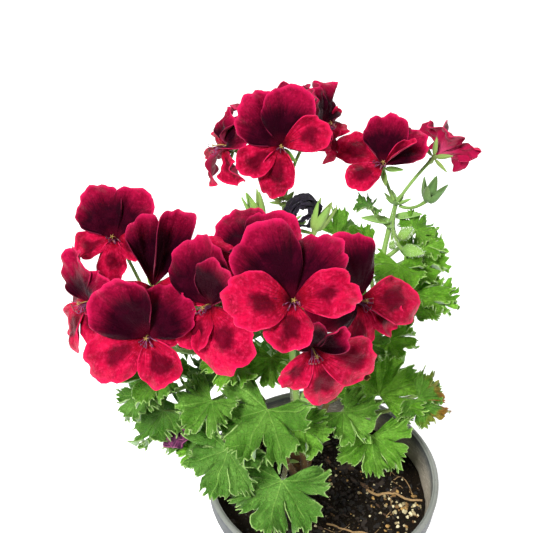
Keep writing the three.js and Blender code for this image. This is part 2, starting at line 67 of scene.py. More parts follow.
# Each stem: its line from the woody base to its tip, and its radii there
STEMS = {
    "back": ([(-13, 11, 116), (-16, 22, 150), (-19, 38, 190), (-21, 54, 228), (-22, 62, 252)], (2.3, 1.4)),
    "right": ([(-9, 6, 116), (2, 8, 136), (13, 10, 150), (19, 20, 166), (27, 38, 190), (34, 62, 222),
               (40, 74, 244)], (2.4, 1.3)),
    "front": ([(-9, 0, 108), (-13, -6, 150), (-17, -9, 185), (-19, -8, 212), (-20, -8, 232)], (2.3, 1.5)),
    "left": ([(-18, 6, 118), (-30, 9, 142), (-50, 12, 170), (-72, 16, 196), (-90, 19, 212)], (2.3, 1.5)),
    "low": ([(-15, 0, 108), (-21, -11, 134), (-27, -17, 160), (-33, -20, 182)], (2.2, 1.4)),
    "rear": ([(-8, 8, 109), (3, 30, 134), (10, 48, 158), (8, 60, 180)], (2.2, 1.4)),
}

# Each leaf: where its petiole leaves the stem, the place where that meets the blade, the mid-vein's heading
# and pitch, the roll about it, the blade's radius, how yellow and light its green is (partly its own tone,
# partly painted light that brightens blades lying in shade), and how dry the blade is
LEAVES = {
    "back": [(0.3, (-40, 44, 172), 150, -10, 0, 27, 0.3, 0),
             (0.42, (-10, 62, 190), 100, -10, 0, 25, 0.5, 0), (0.55, (-44, 66, 200), 125, 0, 0, 23, 0.4, 0),
             (0.72, (8, 71, 225), 30, 8, 25, 19, 0.7, 0)],
    "right": [(0.36, (29, 6, 165), 68, 38, 10, 29, 0.9, 0), (0.18, (24, -12, 153), 270, -30, 0, 23, 0.7, 0),
              (0.24, (49, 1, 167), 335, -20, 15, 18, 0.5, 1), (0.46, (34, 20, 192), 335, 0, 20, 16, 1, 0),
              (0.56, (46, 35, 211), 350, 0, 25, 23, 0.9, 0), (0.64, (46, 50, 222), 355, 5, 28, 22, 0.9, 0),
              (0.64, (25, 54, 226), 205, 5, -25, 20, 1, 0), (0.8, (50, 63, 234), 40, 10, 20, 13, 0.8, 0),
              (0.92, (26, 68, 246), 190, 8, 0, 10, 0.2, 0), (0.6, (38, 37, 228), 262, -28, 0, 17, 0.9, 0),
              (0.76, (53, 54, 228), 345, 12, 10, 14, 0.8, 0), (0.52, (58, 33, 211), 340, -12, 10, 15, 1, 0),
              (0.3, (52, 8, 164), 20, 8, 10, 13, 0.5, 0)],
    "front": [(0.42, (8, -14, 172), 320, -20, 10, 20, 0.6, 0), (0.55, (16, 14, 196), 10, 5, 20, 19, 0.5, 0),
              (0.74, (-42, 18, 216), 160, 0, -20, 21, 0.6, 0),
              (0.62, (-29, -5, 201), 265, -35, 0, 17, 0.8, 0)],
    "left": [(0.32, (-67, -12, 167), 215, -35, 0, 25, 0.3, 0),
             (0.46, (-85, -8, 167), 200, -38, 0, 25, 0.35, 0),
             (0.55, (-70, 44, 176), 140, -10, 0, 26, 0.3, 0),
             (0.7, (-98, 30, 186), 165, -15, 0, 22, 0.4, 0),
             (0.62, (-84, -16, 202), 240, -20, 0, 20.5, 0.6, 0),
             (0.6, (-94, -13, 182), 215, -32, 0, 16, 0.3, 0),
             (0.3, (-67, -26, 158), 225, -35, 0, 12, 0.9, 0)],
    "low": [(0.9, (-31, -32, 191), 235, -30, 0, 30, 0.45, 0),
            (0.34, (-24, -46, 157), 250, -28, 0, 29, 0.3, 0),
            (0.5, (-50, -40, 172), 240, -48, 0, 25, 0.3, 0),
            (0.97, (-46, -18, 210), 200, 5, -20, 18, 0.9, 0),
            (0.75, (-58, -26, 191), 228, -25, 0, 20, 0.5, 0),
            (0.72, (-14, -34, 182), 305, -40, 0, 16, 0.7, 0),
            (0.8, (-56, -7, 191), 130, 8, -10, 19, 0.2, 0)],
    "rear": [(0.4, (34, 50, 148), 15, -20, 0, 23, 0.4, 0), (0.55, (-14, 68, 146), 110, -25, 0, 27, 0.3, 0),
             (0.75, (30, 80, 168), 55, -15, 0, 24, 0.4, 0), (0.95, (14, 90, 194), 70, 0, 0, 20, 0.6, 0)],
}

# Each bloom: its throat's place, the heading and pitch of the way it looks, its roll, its width, and how far
# the black spreads on its upper petals
BLOOMS = {
    "back": [((-24, 61, 285), 268, 30, 8, 50, 0.5), ((-4, 88, 284), 335, 30, 0, 39, 0.6),
             ((-51, 75, 278), 188, 16, 0, 43, 0.2), ((-28, 94, 282), 100, 40, 0, 44, 0.5)],
    "right": [((31, 74, 267), 262, 48, -25, 45, 0.6), ((62, 86, 268), 40, 12, 0, 38, 0.5)],
    "left": [((-106, 27, 250), 262, 48, 0, 45, 0.6), ((-88, 11, 232), 292, 42, -6, 48, 0.8),
             ((-84, -31, 235), 266, 38, 12, 49, 0.6), ((-114, -2, 232), 216, 30, 0, 46, 0.1)],
    "front": [((-21, -50, 268), 272, 46, 0, 53, 0.75), ((-56, -21, 245), 243, 32, 0, 50, 0.75),
              ((8, -21, 247), 302, 36, 42, 48, 0.9), ((-12, -44, 240), 280, 14, 10, 44, 0.7),
              ((-37, -3, 256), 262, 58, 6, 46, 0.5), ((-17, 23, 262), 20, 60, 0, 21, 1)],
}

# The withered bloom, the crumpled ones, and how much more than the others these are ruffled
WITHERED = ("front", 5)
CRUMPLED = (("back", 1), ("back", 2), ("right", 1), ("left", 1))
CRUMPLED_RUFFLING = 1.9

# How much more a bloom's petals lean inwards, and the growth of its five petals where it isn't even
LEANING = {("left", 1): 0.6}
EVEN = (1, 1, 1, 1, 1)
GROWTH = {("left", 2): (0.95, 1, 1.22, 1.08, 0.75), ("front", 4): (1, 1, 1, 1, 0.7)}

# Sepals whose petals have dropped, bracts and closed buds, under their stem: place, heading and pitch. Sepals
# also have how far they open, their size and their shape, and bracts and buds have their length. A bud's
# radius is a share of its length.
SPENT = {
    "front": [((-35, 31, 261), 160, 70, 79, 1.5, "sepal"), ((-7, 22, 261), 20, 66, 78, 1.5, "sepal")],
    "right": [((56, 65, 253), 330, 75, 68, 1.3, "broad_sepal")],
}
BRACTS = {
    "back": [((-21, 58, 240), 330, 45, 13)],
    "right": [((38, 70, 236), 195, 15, 19), ((39, 71, 238), 345, 15, 16)],
    "front": [((-20, -8, 222), 190, 30, 13)],
    "left": [((-84, 18, 207), 60, 40, 13)],
}
BUDS = {"right": [((35, 46, 233), 270, 60, 8), ((39, 49, 237), 320, 52, 12), ((39, 39, 237), 330, 5, 13)]}
BUD_RADIUS = 0.27

# Under an open bloom: how far the sepals open, their size and their shape
OPEN_SEPALS = (18, 1, "sepal")

# Each dropped petal or dry bit: the stem and leaf it lies on, its place and turn on that blade, its length,
# width and finish. They all lie at one height over the blade's own plane.
PURPLE_CREPE = "withered_purple_crepe"
BROWN_CREPE = "dry_brown_crepe"
FALLEN = [("left", 0, 8, 6, -14, 28, 9, PURPLE_CREPE), ("left", 0, 13, 6, 60, 12, 10, PURPLE_CREPE),
          ("left", 4, 2, -14, 70, 7, 4, BROWN_CREPE), ("right", 0, 6, 10, 100, 6, 4, BROWN_CREPE)]
FALLEN_LIFT = 6.5
FALLEN_GRID = (36, 10)

# The five petals in order round the throat: direction, length as a share of the bloom's width, half the angle
# that its outline spreads over, lean, recurve, how far it lies in front of its neighbours, and how much its
# sides fold up
PETALS = [
    (52, 0.59, 62, 0.3, 0.2, 0.8, 0),
    (128, 0.59, 62, 0.3, 0.2, 2.4, 0),
    (202, 0.5, 50, 0.26, 0.34, -0.6, 0),
    (270, 0.5, 48, 0.24, 0.36, 0.6, 0),
    (338, 0.5, 50, 0.26, 0.34, -0.6, 0),
]
# The blooms whose petals stand another way. The withered one reads only its petals' first three numbers.
ARRANGED = {
    ("back", 0): [(68, 0.59, 60, 0.34, 0.2, 3.6, 0.05), (126, 0.59, 56, 0.26, 0.22, 0.2, 0.05),
                  (201, 0.53, 40, 0.2, 0.34, -0.6, 0.1), (260, 0.5, 44, 0.2, 0.36, 1.2, 0),
                  (6, 0.54, 40, 0.44, 0.26, 5.4, 0.1)],
    ("right", 0): [(70, 0.56, 58, 0.3, 0.2, 0.6, 0.1), (112, 0.56, 60, 0.36, 0.2, 2.0, 0.1),
                   (182, 0.62, 38, 0.2, 0.34, 0, 0.1), (243, 0.54, 42, 0.2, 0.36, 1.4, 0.05),
                   (54, 0.36, 20, 0.8, 0.1, 3.6, 0.9)],
    ("right", 1): [(60, 0.52, 40, 0.2, 0.6, 0.8, 0.4), (112, 0.56, 40, 0.1, 0.5, 2.4, 0.5),
                   (192, 0.42, 34, 1.0, 0.3, -0.6, 0.4), (252, 0.46, 36, 0.8, 0.4, 0.6, 0.5),
                   (328, 0.44, 34, 1.0, 0.3, -0.6, 0.4)],
    ("back", 2): [(62, 0.56, 50, -0.5, 0.1, 0.8, 0.3), (118, 0.5, 50, -0.2, 0.2, 2.4, 0.3),
                  (204, 0.55, 44, 0.1, 0.3, -0.6, 0.4), (262, 0.62, 34, 0.1, 0.3, 0.6, 0.5),
                  (326, 0.5, 46, -0.4, 0.2, -0.6, 0.3)],
    ("left", 3): [(50, 0.5, 56, 0.5, 0.3, 0.8, 0.1), (120, 0.54, 58, 0.4, 0.3, 2.4, 0.1),
                  (196, 0.6, 54, 0.1, 0.4, -0.6, 0.1), (262, 0.6, 50, 0.1, 0.4, 0.6, 0.2),
                  (332, 0.5, 52, 0.2, 0.3, -0.6, 0.1)],
    ("left", 0): [(60, 0.6, 54, 0.3, 0.2, 0.4, 0.05), (128, 0.59, 58, 0.3, 0.22, 2.4, 0.05),
                  (204, 0.5, 40, 0.2, 0.34, -0.4, 0.1), (276, 0.47, 40, 0.26, 0.36, 0.6, 0),
                  (335, 0.48, 40, 0.26, 0.34, -0.6, 0.1)],
    ("left", 1): [(66, 0.7, 29, 0.2, 0.1, 0.6, 0.8), (103, 0.68, 31, 0.1, 0.16, 2.4, 0.6),
                  (202, 0.48, 44, 0.26, 0.34, -0.6, 0), (270, 0.46, 44, 0.24, 0.36, 0.6, 0),
                  (338, 0.48, 44, 0.26, 0.34, -0.6, 0)],
    ("left", 2): [(41, 0.56, 60, 0.2, 0.26, 0, 0), (121, 0.6, 60, 0.36, 0.2, 3.2, 0.05),
                  (198, 0.5, 54, 0.2, 0.34, 0.8, 0.05), (288, 0.46, 46, 0.16, 0.3, 1.4, 0.1),
                  (350, 0.4, 40, 0.1, 0.4, -1.6, 0)],
    ("front", 0): [(60, 0.56, 46, 0.3, 0.14, 0, 0.1), (124, 0.62, 58, 0.38, 0.12, 3.0, 0.12),
                   (194, 0.5, 54, 0.54, 0.18, 7.5, 0), (256, 0.45, 50, 0.24, 0.36, 7, 0),
                   (6, 0.45, 50, 0.56, 0.16, 6.5, 0)],
    ("front", 1): [(62, 0.5, 44, 0.6, 0.1, 3.0, 0.3), (112, 0.62, 62, 0.28, 0.2, 0.6, 0.05),
                   (168, 0.3, 34, 0.2, 0.3, -1.6, 0.2), (266, 0.44, 46, 0.3, 0.3, 1.2, 0.1),
                   (318, 0.62, 56, 0.3, 0.3, -0.6, 0)],
    ("front", 2): [(48, 0.66, 44, 0.3, 0.2, 0.8, 0.2), (128, 0.59, 50, 0.3, 0.2, 1.4, 0.1),
                   (202, 0.5, 48, 0.26, 0.34, -0.6, 0), (268, 0.5, 42, 0.2, 0.3, 0.6, 0),
                   (304, 0.6, 48, 0.3, 0.3, 2.4, 0)],
    ("front", 3): [(36, 0.4, 34, 0.5, 0.1, 0.4, 0.7), (98, 0.44, 44, 0.5, 0.2, 0.8, 0.5),
                   (217, 0.5, 34, 0.2, 0.34, 0.2, 0.2), (274, 0.62, 44, 0.16, 0.34, 2.4, 0.05),
                   (335, 0.66, 46, 0.24, 0.3, 1.2, 0.05)],
    ("front", 4): [(50, 0.6, 62, 0.1, 0.2, 0.8, 0), (116, 0.6, 62, 0.1, 0.2, 2.0, 0),
                   (178, 0.62, 54, 0.1, 0.3, -0.6, 0), (262, 0.42, 48, 0.2, 0.3, 0.6, 0),
                   (350, 0.5, 46, 0.2, 0.3, -0.6, 0)],
    ("front", 5): [(30, 0.85, 44, 0, 0, 0, 0), (105, 0.8, 60, 0, 0, 0, 0), (180, 0.95, 44, 0, 0, 0, 0),
                   (262, 0.7, 50, 0, 0, 0, 0), (330, 0.9, 40, 0, 0, 0, 0)],
}

# Petals: their grid, their thickness, how blunt they end, and their relief as shares of the bloom's width
PETAL_GRID = (48, 20)
PETAL_THICKNESS = 0.45
PETAL_BLUNT = 0.42
PETAL_RUFFLE = 0.036
PETAL_WAVE = 0.04

# Throat: its depth and width as shares of the bloom's width, and what stands in it
FUNNEL_DEPTH = 0.13
FUNNEL_WIDTH = 0.08
FILAMENTS = 7
STIGMA_ARMS = 5

# The withered bloom: the radius that it bows over, the angle where that starts, its thickness and its stretch
WITHERED_BOW = 6.1
WITHERED_START = -1.6
WITHERED_THICK = 2.8
WITHERED_STRETCH = 1.9

# Stalks: the knob at an umbel, the steps along each line, sepals, the small blades beside a petiole and round
# an umbel, and hairs
KNOB = 2.2
LIMB_STEPS = 14
STEM_STEPS = 48
BUD_STEPS = 20
PETIOLE_RADII = (1.35, 1.0)
SEPALS = 5
SEPAL_LENGTH = 10.5
STIPULE_LENGTH = 6.5
COLLAR_BLADES = 7
COLLAR_TURN = 51.4
COLLAR_LENGTH = 8
BLADE_GRID = (6, 10)
BUD_GRID = (40, 14)
HAIR_SIDES = 3
HAIR_FOOT = 0.045
HAIR_TIP = 0.012
HAIR_LENGTH = 1.0
STALK_HAIRS_PER_MM = 2.6
BUD_HAIRS_PER_MM = 26

# Leaf blade: its thickness, the angle that it spans on each side, and its relief as shares of its radius.
# Each frill has its height, how it gathers at the edge, how often it comes and its own number.
LEAF_THICKNESS = 0.5
LEAF_SWEEP = 128
LEAF_CUP = 0.2
LEAF_PLEAT = 0.04
LEAF_WAVE = 0.09
LEAF_FALL = 0.22
LEAF_FRILL = 0.09
TOOTH_CURL = 0.05
LEAF_QUILT = 0.004
VEIN_GROOVE = 0.01
LOBE_LIFT = 0.26
FRILLS = [(0.8, 6, 0.55, 3), (0.5, 6, 1.1, 4), (1.3, 2, 0.21, 6)]

# Leaf outline: lobes and the steps along each one, how far notches, shoulders, slits and teeth cut in, how
# many steps a slit is wide, how far the lobes sway, and the teeth on a step
LOBES = 5
LOBE_STEPS = 6
LEAF_STEPS = LOBES * LOBE_STEPS
NOTCH = 0.9
LOBE_SHOULDER = 0.9
LOBE_SLIT = 0.3
SLIT_WIDTH = 0.65
LOBE_SWAY = 0.2
SMALL_TOOTH = 0.12
TEETH_PER_STEP = 2.0
LOBE_ANGLE = 2 * LEAF_SWEEP / LOBES

# Side veins along a lobe and how they slant, and the grids of a blade wider than a radius and of the others
CHEVRONS = 5
CHEVRON_SLANT = 1.0
WIDE_LEAF = 22
WIDE_LEAF_GRID = (230, 14)
LEAF_GRID = (150, 11)

# Thin roots on the soil: a long brown one to the rim, a curled one and one to the front, each with its way
# and its radii, and how many short bits are tried
LONG_ROOTS = [([(26, -1), (34, -4), (44, -5), (52, -8), (57, -9)], 0.8, 0.6),
              ([(43, 7), (47, 9), (50, 6), (52, 1), (53, -4)], 0.3, 0.25),
              ([(2, -24), (14, -29), (26, -32), (36, -38)], 0.6, 0.35)]
ROOT_BITS = 16
ROOT_STEPS = 20
ROOT_REACH = 54
ANY_TURN = (0, 6.28)

# Pot, soil and bark: sides and rings, the drill for the drain holes, the height where the soil's side bends,
# the clear ground round the trunk, and how closely the bark's lumps follow each other
POT_SIDES = 144
DRILL_SIDES = 24
DRILL_DEPTH = 9
SOIL_SIDES = 180
SOIL_RINGS = 56
SOIL_SHOULDER = 60
TRUNK_CLEARING = 6.5
TRUNK_STEPS = 60
BARK_LUMPS = 0.3433657

# The studio: each lamp's place, size and power, in metres and watts, and the camera's place, how far it looks
# down, and its focal length and the picture's width in pixels
FLOOR_SIZE = 8
LAMPS = {"key": ((-0.5, -0.9, 1.2), 0.32, 42), "fill": ((1.1, -0.7, 0.9), 1.0, 11),
         "back": ((0.3, 1.2, 1.3), 1.0, 14)}
LAMP_AIM = (0, 0, 0.18)
AIR_LIGHT = 0.28
CAMERA_PLACE = (-0.0314, -0.3124, 0.4611)
CAMERA_DOWN = 33.8
SENSOR_WIDTH = 36
FOCAL_PIXELS = 800
FRAME_PIXELS = 533


# Geometry by formula

def wobble(index, channel):
    """A number from -1 to 1 that differs from index to index and from channel to channel."""
    return np.sin(12.9898 * (index + 1) + 78.233 * (channel + 1))


def pot_wall(z):
    return FOOT_RADIUS + (RIM_RADIUS - RIM_STEP - FOOT_RADIUS) / BAND_FOOT * z


def soil_inside(z):
    return pot_wall(z) - POT_WALL - 2 * SEAT_GAP


def soil_height(x, y):
    """The soil's top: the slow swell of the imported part, with lumps and crumbs on it."""
    swell = 0.6 * math.sin(0.17 * x + 1.3) * math.cos(0.15 * y) + 0.4 * math.sin(0.31 * x - 0.27 * y)
    lumps = noise.fractal((x * 0.14, y * 0.14, 2.0), 0.8, 2.1, 4)
    crumbs = noise.noise((x * 0.9, y * 0.9, 7.0))
    return SOIL_TOP + SOIL_BUMP * swell + 1.1 * lumps + 0.4 * crumbs


class Bend:
    """The smooth line through a list of points, read at a share of its length."""

    def __init__(self, points):
        points = [np.array(p, float) for p in points]
        self.points = [2 * points[0] - points[1]] + points + [2 * points[-1] - points[-2]]
        trail = np.array([self.knot(i / BEND_SAMPLES) for i in range(BEND_SAMPLES + 1)])
        lengths = np.r_[0, np.cumsum(np.linalg.norm(np.diff(trail, axis=0), axis=1))]
        self.length = lengths[-1]
        self.shares = lengths / self.length

    def knot(self, t):
        spans = len(self.points) - 3
        span = min(int(spans * t), spans - 1)
        p0, p1, p2, p3 = self.points[span:span + 4]
        d0, d1, d2 = (math.sqrt(np.linalg.norm(b - a)) or 1 for a, b in ((p0, p1), (p1, p2), (p2, p3)))
        start = ((p1 - p0) / d0 - (p2 - p0) / (d0 + d1) + (p2 - p1) / d1) * d1
        end = ((p2 - p1) / d1 - (p3 - p1) / (d1 + d2) + (p3 - p2) / d2) * d1
        t = spans * t - span
        return (p1 + start * t + (-3 * p1 + 3 * p2 - 2 * start - end) * t * t
                + (2 * p1 - 2 * p2 + start + end) * t ** 3)

    def at(self, share):
        return self.knot(np.interp(share, self.shares, np.linspace(0, 1, BEND_SAMPLES + 1)))

    def line(self, steps):
        return np.array([self.at(i / steps) for i in range(steps + 1)])


def tapered(points, steps, thick, thin):
    """The smooth line through some points, with radii from thick to thin."""
    return Bend(points).line(steps), np.linspace(thick, thin, steps + 1)


def arc(start, over, end, steps):
    t = np.linspace(0, 1, steps + 1)[:, None]
    return (1 - t) ** 2 * start + 2 * t * (1 - t) * over + t * t * end


class Facing:
    """The frame of a blade or bloom: x along its heading and pitch, z up from it, rolled about x."""

    def __init__(self, place, heading, pitch, roll=0):
        h, p = heading * DEGREE, pitch * DEGREE
        self.place = np.array(place, float)
        along = Vector((math.cos(p) * math.cos(h), math.cos(p) * math.sin(h), math.sin(p)))
        side = Vector((0, 0, 1)).cross(along).normalized()
        turn = Matrix.Rotation(roll * DEGREE, 3, along)
        self.axes = np.array([along, turn @ side, turn @ along.cross(side)])

    def point(self, x, y, z):
        return self.place + np.stack(np.broadcast_arrays(x, y, z), axis=-1) @ self.axes

    def matrix(self, x=0, y=0, z=0, size=1.0):
        turn = Matrix(self.axes.T.tolist()).to_4x4() @ Matrix.Scale(size, 4)
        return Matrix.Translation(Vector(self.point(x, y, z)) * MM) @ turn


# Working with pieces

def select_only(*pieces):
    bpy.ops.object.select_all(action="DESELECT")
    for piece in pieces:
        piece.select_set(True)
    bpy.context.view_layer.objects.active = pieces[0]


def edit(piece):
    select_only(piece)
    bpy.ops.object.mode_set(mode="EDIT")
    bpy.ops.mesh.select_all(action="SELECT")


def done():
    bpy.ops.object.mode_set(mode="OBJECT")


def apply_modifier(piece, kind, **settings):
    select_only(piece)
    modifier = piece.modifiers.new("shape", kind)
    for name, value in settings.items():
        setattr(modifier, name, value)
    bpy.ops.object.modifier_apply(modifier="shape")


def join(pieces):
    select_only(*pieces)
    if len(pieces) > 1:
        bpy.ops.object.join()
    return pieces[0]


def smooth(piece, angle=50):
    select_only(piece)
    bpy.ops.object.shade_smooth_by_angle(angle=angle * DEGREE)


def places(mesh):
    flat = np.empty(3 * len(mesh.vertices))
    mesh.vertices.foreach_get("co", flat)
    return flat.reshape(-1, 3)


def set_places(mesh, points):
    mesh.vertices.foreach_set("co", np.ascontiguousarray(points, dtype=float).ravel())
    mesh.update()


def mark(mesh, marks):
    """Writes three numbers from 0 to 1 at each vertex, which the materials read as marks."""
    layer = mesh.color_attributes.new("marks", "FLOAT_COLOR", "POINT")
    layer.data.foreach_set("color", np.c_[marks, np.ones(len(marks))].ravel())


def sheet(columns, rows, shape, materials):
    """A flat grid laid over a surface. shape turns its two shares into points, pattern places and marks."""
    bpy.ops.object.select_all(action="DESELECT")
    bpy.ops.mesh.primitive_grid_add(x_subdivisions=columns, y_subdivisions=rows, size=1)
    piece = bpy.context.object
    mesh = piece.data
    flat = places(mesh)
    points, pattern, marks = shape(flat[:, 0] + 0.5, flat[:, 1] + 0.5)
    corners = np.empty(len(mesh.loops), dtype=np.int32)
    mesh.loops.foreach_get("vertex_index", corners)
    mesh.uv_layers[0].data.foreach_set("uv", pattern[corners].ravel())
    mark(mesh, marks)
    set_places(mesh, points * MM)
    for material in materials:
        mesh.materials.append(material)
    edit(piece)
    bpy.ops.mesh.remove_doubles(threshold=1e-6)
    done()
    return piece


def tubes(lines, material, bevel=2):
    """Round limbs along lines of points, each with its radii."""
    bpy.ops.object.select_all(action="DESELECT")
    bpy.ops.curve.primitive_nurbs_path_add()
    curve = bpy.context.object.data
    curve.splines.clear()
    curve.bevel_depth = MM
    curve.bevel_resolution = bevel
    curve.use_fill_caps = True
    curve.materials.append(material)
    for points, radii in lines:
        spline = curve.splines.new("POLY")
        spline.points.add(len(points) - 1)
        spline.points.foreach_set("co", np.c_[np.array(points) * MM, np.ones(len(points))].ravel())
        spline.points.foreach_set("radius", np.array(radii, float))
    bpy.ops.object.convert(target="MESH")
    piece = bpy.context.object
    smooth(piece)
    return piece


def repeat(source, matrices):
    """Copies of a small shape, one at each matrix, as one mesh of their own."""
    mesh = source.data
    points = places(mesh)
    count = len(points)
    faces = [tuple(polygon.vertices) for polygon in mesh.polygons]
    all_points, all_faces = [], []
    for i, matrix in enumerate(matrices):
        turn = np.array(matrix)
        all_points.append(points @ turn[:3, :3].T + turn[:3, 3])
        all_faces += [tuple(v + i * count for v in face) for face in faces]
    copies = bpy.data.meshes.new(source.name)
    copies.from_pydata(np.concatenate(all_points).tolist(), [], all_faces)
    for material in mesh.materials:
        copies.materials.append(material)
    tones = 0.5 + 0.5 * wobble(np.arange(len(matrices)), 5)
    mark(copies, np.repeat(tones, count)[:, None] * np.ones(3))
    piece = bpy.data.objects.new(source.name, copies)
    bpy.context.collection.objects.link(piece)
    smooth(piece, 60)
    return piece


def discard(piece):
    bpy.data.objects.remove(piece, do_unlink=True)


def turned(profile, sides):
    """A round shape made from a circle that is extruded and widened from point to point of a profile."""
    (radius, height), *rest = profile
    bpy.ops.object.select_all(action="DESELECT")
    bpy.ops.mesh.primitive_circle_add(vertices=sides, radius=radius * MM, location=(0, 0, height * MM))
    piece = bpy.context.object
    bpy.ops.object.transform_apply(location=True, rotation=False, scale=False)
    edit(piece)
    for next_radius, next_height in rest:
        lift = (0, 0, (next_height - height) * MM)
        bpy.ops.mesh.extrude_region_move(TRANSFORM_OT_translate={"value": lift})
        grow = next_radius / radius
        bpy.ops.transform.resize(value=(grow, grow, 1), center_override=(0, 0, next_height * MM))
        radius, height = next_radius, next_height
    bpy.ops.mesh.edge_face_add()
    bpy.ops.mesh.select_all(action="DESELECT")
    bpy.ops.mesh.select_non_manifold()
    bpy.ops.mesh.edge_face_add()
    bpy.ops.mesh.select_all(action="SELECT")
    bpy.ops.mesh.normals_make_consistent(inside=False)
    done()
    return piece


def hand_in(piece, name, slot, *nodes):
    piece.name = name
    piece.data.name = name
    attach(piece, "root")
    if nodes:
        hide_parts(*nodes)


# Materials

def tint(code):
    """A colour written as six hex digits, in Blender's linear numbers."""
    parts = [int(code[i:i + 2], 16) / 255 for i in (0, 2, 4)]
    return tuple(c / 12.92 if c < 0.04045 else ((c + 0.055) / 1.055) ** 2.4 for c in parts) + (1.0,)


class Finish:
    """A material, with short calls that add a node and link what feeds it."""

    def __init__(self, name, **constants):
        self.material = bpy.data.materials.new(name)
        self.material.use_nodes = True
        self.tree = self.material.node_tree
        self.shader = self.tree.nodes["Principled BSDF"]
        for socket, value in constants.items():
            self.shader.inputs[socket.replace("_", " ")].default_value = value

    def node(self, kind, inputs, output=0, **settings):
        node = self.tree.nodes.new("ShaderNode" + kind)
        for name, value in settings.items():
            setattr(node, name, value)
        for key, value in inputs.items():
            if isinstance(value, bpy.types.NodeSocket):
                self.tree.links.new(value, node.inputs[key])
            else:
                node.inputs[key].default_value = value
        return node.outputs[output]

    def math(self, operation, *values):
        return self.node("Math", dict(enumerate(values)), operation=operation)

    def times(self, a, b):
        return self.math("MULTIPLY", a, b)

    def plus(self, a, b):
        return self.math("ADD", a, b)

    def minus(self, a, b):
        return self.math("SUBTRACT", a, b)

    def rest(self, value):
        """What is left of 1."""
        return self.math("SUBTRACT", 1.0, value)

    def mix(self, factor, a, b):
        return self.node("Mix", {0: factor, 6: a, 7: b}, 2, data_type="RGBA")

    def over(self, colour, where, strength, code):
        """The colour with another one laid over it where a mask is bright, at a strength at most."""
        return self.mix(self.times(where, strength), colour, tint(code))

    def between(self, value, low, high):
        """0 where value is below low, 1 where it is above high, and smooth between them."""
        return self.node("MapRange", {0: value, 1: low, 2: high}, interpolation_type="SMOOTHSTEP")

    def spot(self, scale=(1, 1, 1)):
        where = self.node("TexCoord", {}, "Object")
        return self.node("Mapping", {"Vector": where, "Scale": scale})

    def parts(self, kind, value, count):
        node = self.tree.nodes.new("ShaderNodeSeparate" + kind)
        self.tree.links.new(value, node.inputs[0])
        return [node.outputs[i] for i in range(count)]

    def pattern(self):
        """How far round and how far out a point of a leaf or petal lies."""
        return self.parts("XYZ", self.node("UVMap", {}, uv_map="UVMap"), 2)

    def marks(self):
        return self.parts("Color", self.node("Attribute", {}, "Color", attribute_name="marks"), 3)

    def noise(self, scale, detail=3.0, roughness=0.55, stretch=(1, 1, 1)):
        inputs = {"Vector": self.spot(stretch), "Scale": scale, "Detail": detail, "Roughness": roughness}
        return self.node("TexNoise", inputs)

    def streaks(self, round_scale, out_scale, detail=4.0, roughness=0.65):
        """Streaks that fan out from a throat, another set on each petal."""
        u, v = self.pattern()
        tone = self.marks()[1]
        fan = self.node("CombineXYZ", {0: self.times(u, round_scale), 1: self.times(v, out_scale)})
        inputs = {"Vector": fan, "W": self.times(tone, 20), "Scale": 1.0, "Detail": detail,
                  "Roughness": roughness}
        return self.node("TexNoise", inputs, noise_dimensions="4D")

    def cells(self, scale, stretch=(1, 1, 1), feature="F1"):
        return self.node("TexVoronoi", {"Vector": self.spot(stretch), "Scale": scale}, feature=feature)

    def finish(self, colour, height=None, distance=0.0, strength=0.0, roughness=None):
        self.tree.links.new(colour, self.shader.inputs["Base Color"])
        if roughness is not None:
            self.tree.links.new(roughness, self.shader.inputs["Roughness"])
        if height is not None:
            inputs = {"Height": height, "Distance": distance, "Strength": strength}
            self.tree.links.new(self.node("Bump", inputs), self.shader.inputs["Normal"])
        return self.material


PETAL_GLOW = {"Subsurface_Scale": 0.003, "Subsurface_Radius": (1.0, 0.25, 0.2), "Specular_IOR_Level": 0.3}


def velvet(name, glow, sheen, gloss):
    return Finish(name, Roughness=0.5, Sheen_Weight=0.05, Sheen_Roughness=0.35, Sheen_Tint=tint(sheen),
                  Subsurface_Weight=glow, Specular_Tint=tint(gloss), **PETAL_GLOW)


def velvet_ground(f, colour, streak, light, grain, streaked, rim):
    """A petal's own colour with its grain and streaks, and its rim."""
    share = f.marks()[0]
    colour = f.over(colour, f.between(f.noise(520, 4.0, 0.75), 0.45, 0.75), 0.6, light)
    colour = f.over(colour, f.between(f.noise(900, 2.0), 0.5, 0.7), *grain)
    colour = f.over(colour, streak, *streaked)
    return f.mix(f.between(share, 0.9, 1.0), colour, tint(rim))


def velvet_rise(f, streak):
    return f.plus(f.times(streak, 0.5), f.times(f.noise(560, 4.0), 0.9))


def upper_petal_finish():
    f = velvet("petal_upper_velvet", 0.05, "d02050", "b01848")
    share, _, spread = f.marks()
    u, v = f.pattern()
    streak = f.streaks(95, 2.6)
    clouds = f.noise(90)
    crimson = f.mix(f.between(clouds, 0.3, 0.7), tint("5c031c"), tint("920a32"))
    crimson = velvet_ground(f, crimson, streak, "b41c48", (0.4, "44020e"), (0.25, "420212"), "a81242")
    feathered = f.plus(v, f.times(f.minus(streak, 0.5), 0.3))
    limit = f.plus(f.plus(0.4, f.times(spread, 0.36)), f.times(clouds, 0.3))
    outside = f.between(feathered, f.minus(limit, 0.26), f.plus(limit, 0.2))
    colour = f.mix(outside, tint("16020a"), crimson)
    veins = f.between(f.math("SINE", f.times(u, 170)), 0.75, 1.0)
    near = f.rest(f.between(v, 0.04, 0.26))
    colour = f.mix(f.times(near, 0.7), colour, f.mix(veins, tint("560a20"), tint("180208")))
    # A painted highlight along the petal's thin edge, laid on as a lighter pink rim.
    colour = f.over(colour, f.between(share, 0.97, 1.0), 0.14, "cc3864")
    return f.finish(colour, velvet_rise(f, streak), 0.0007, 0.8)


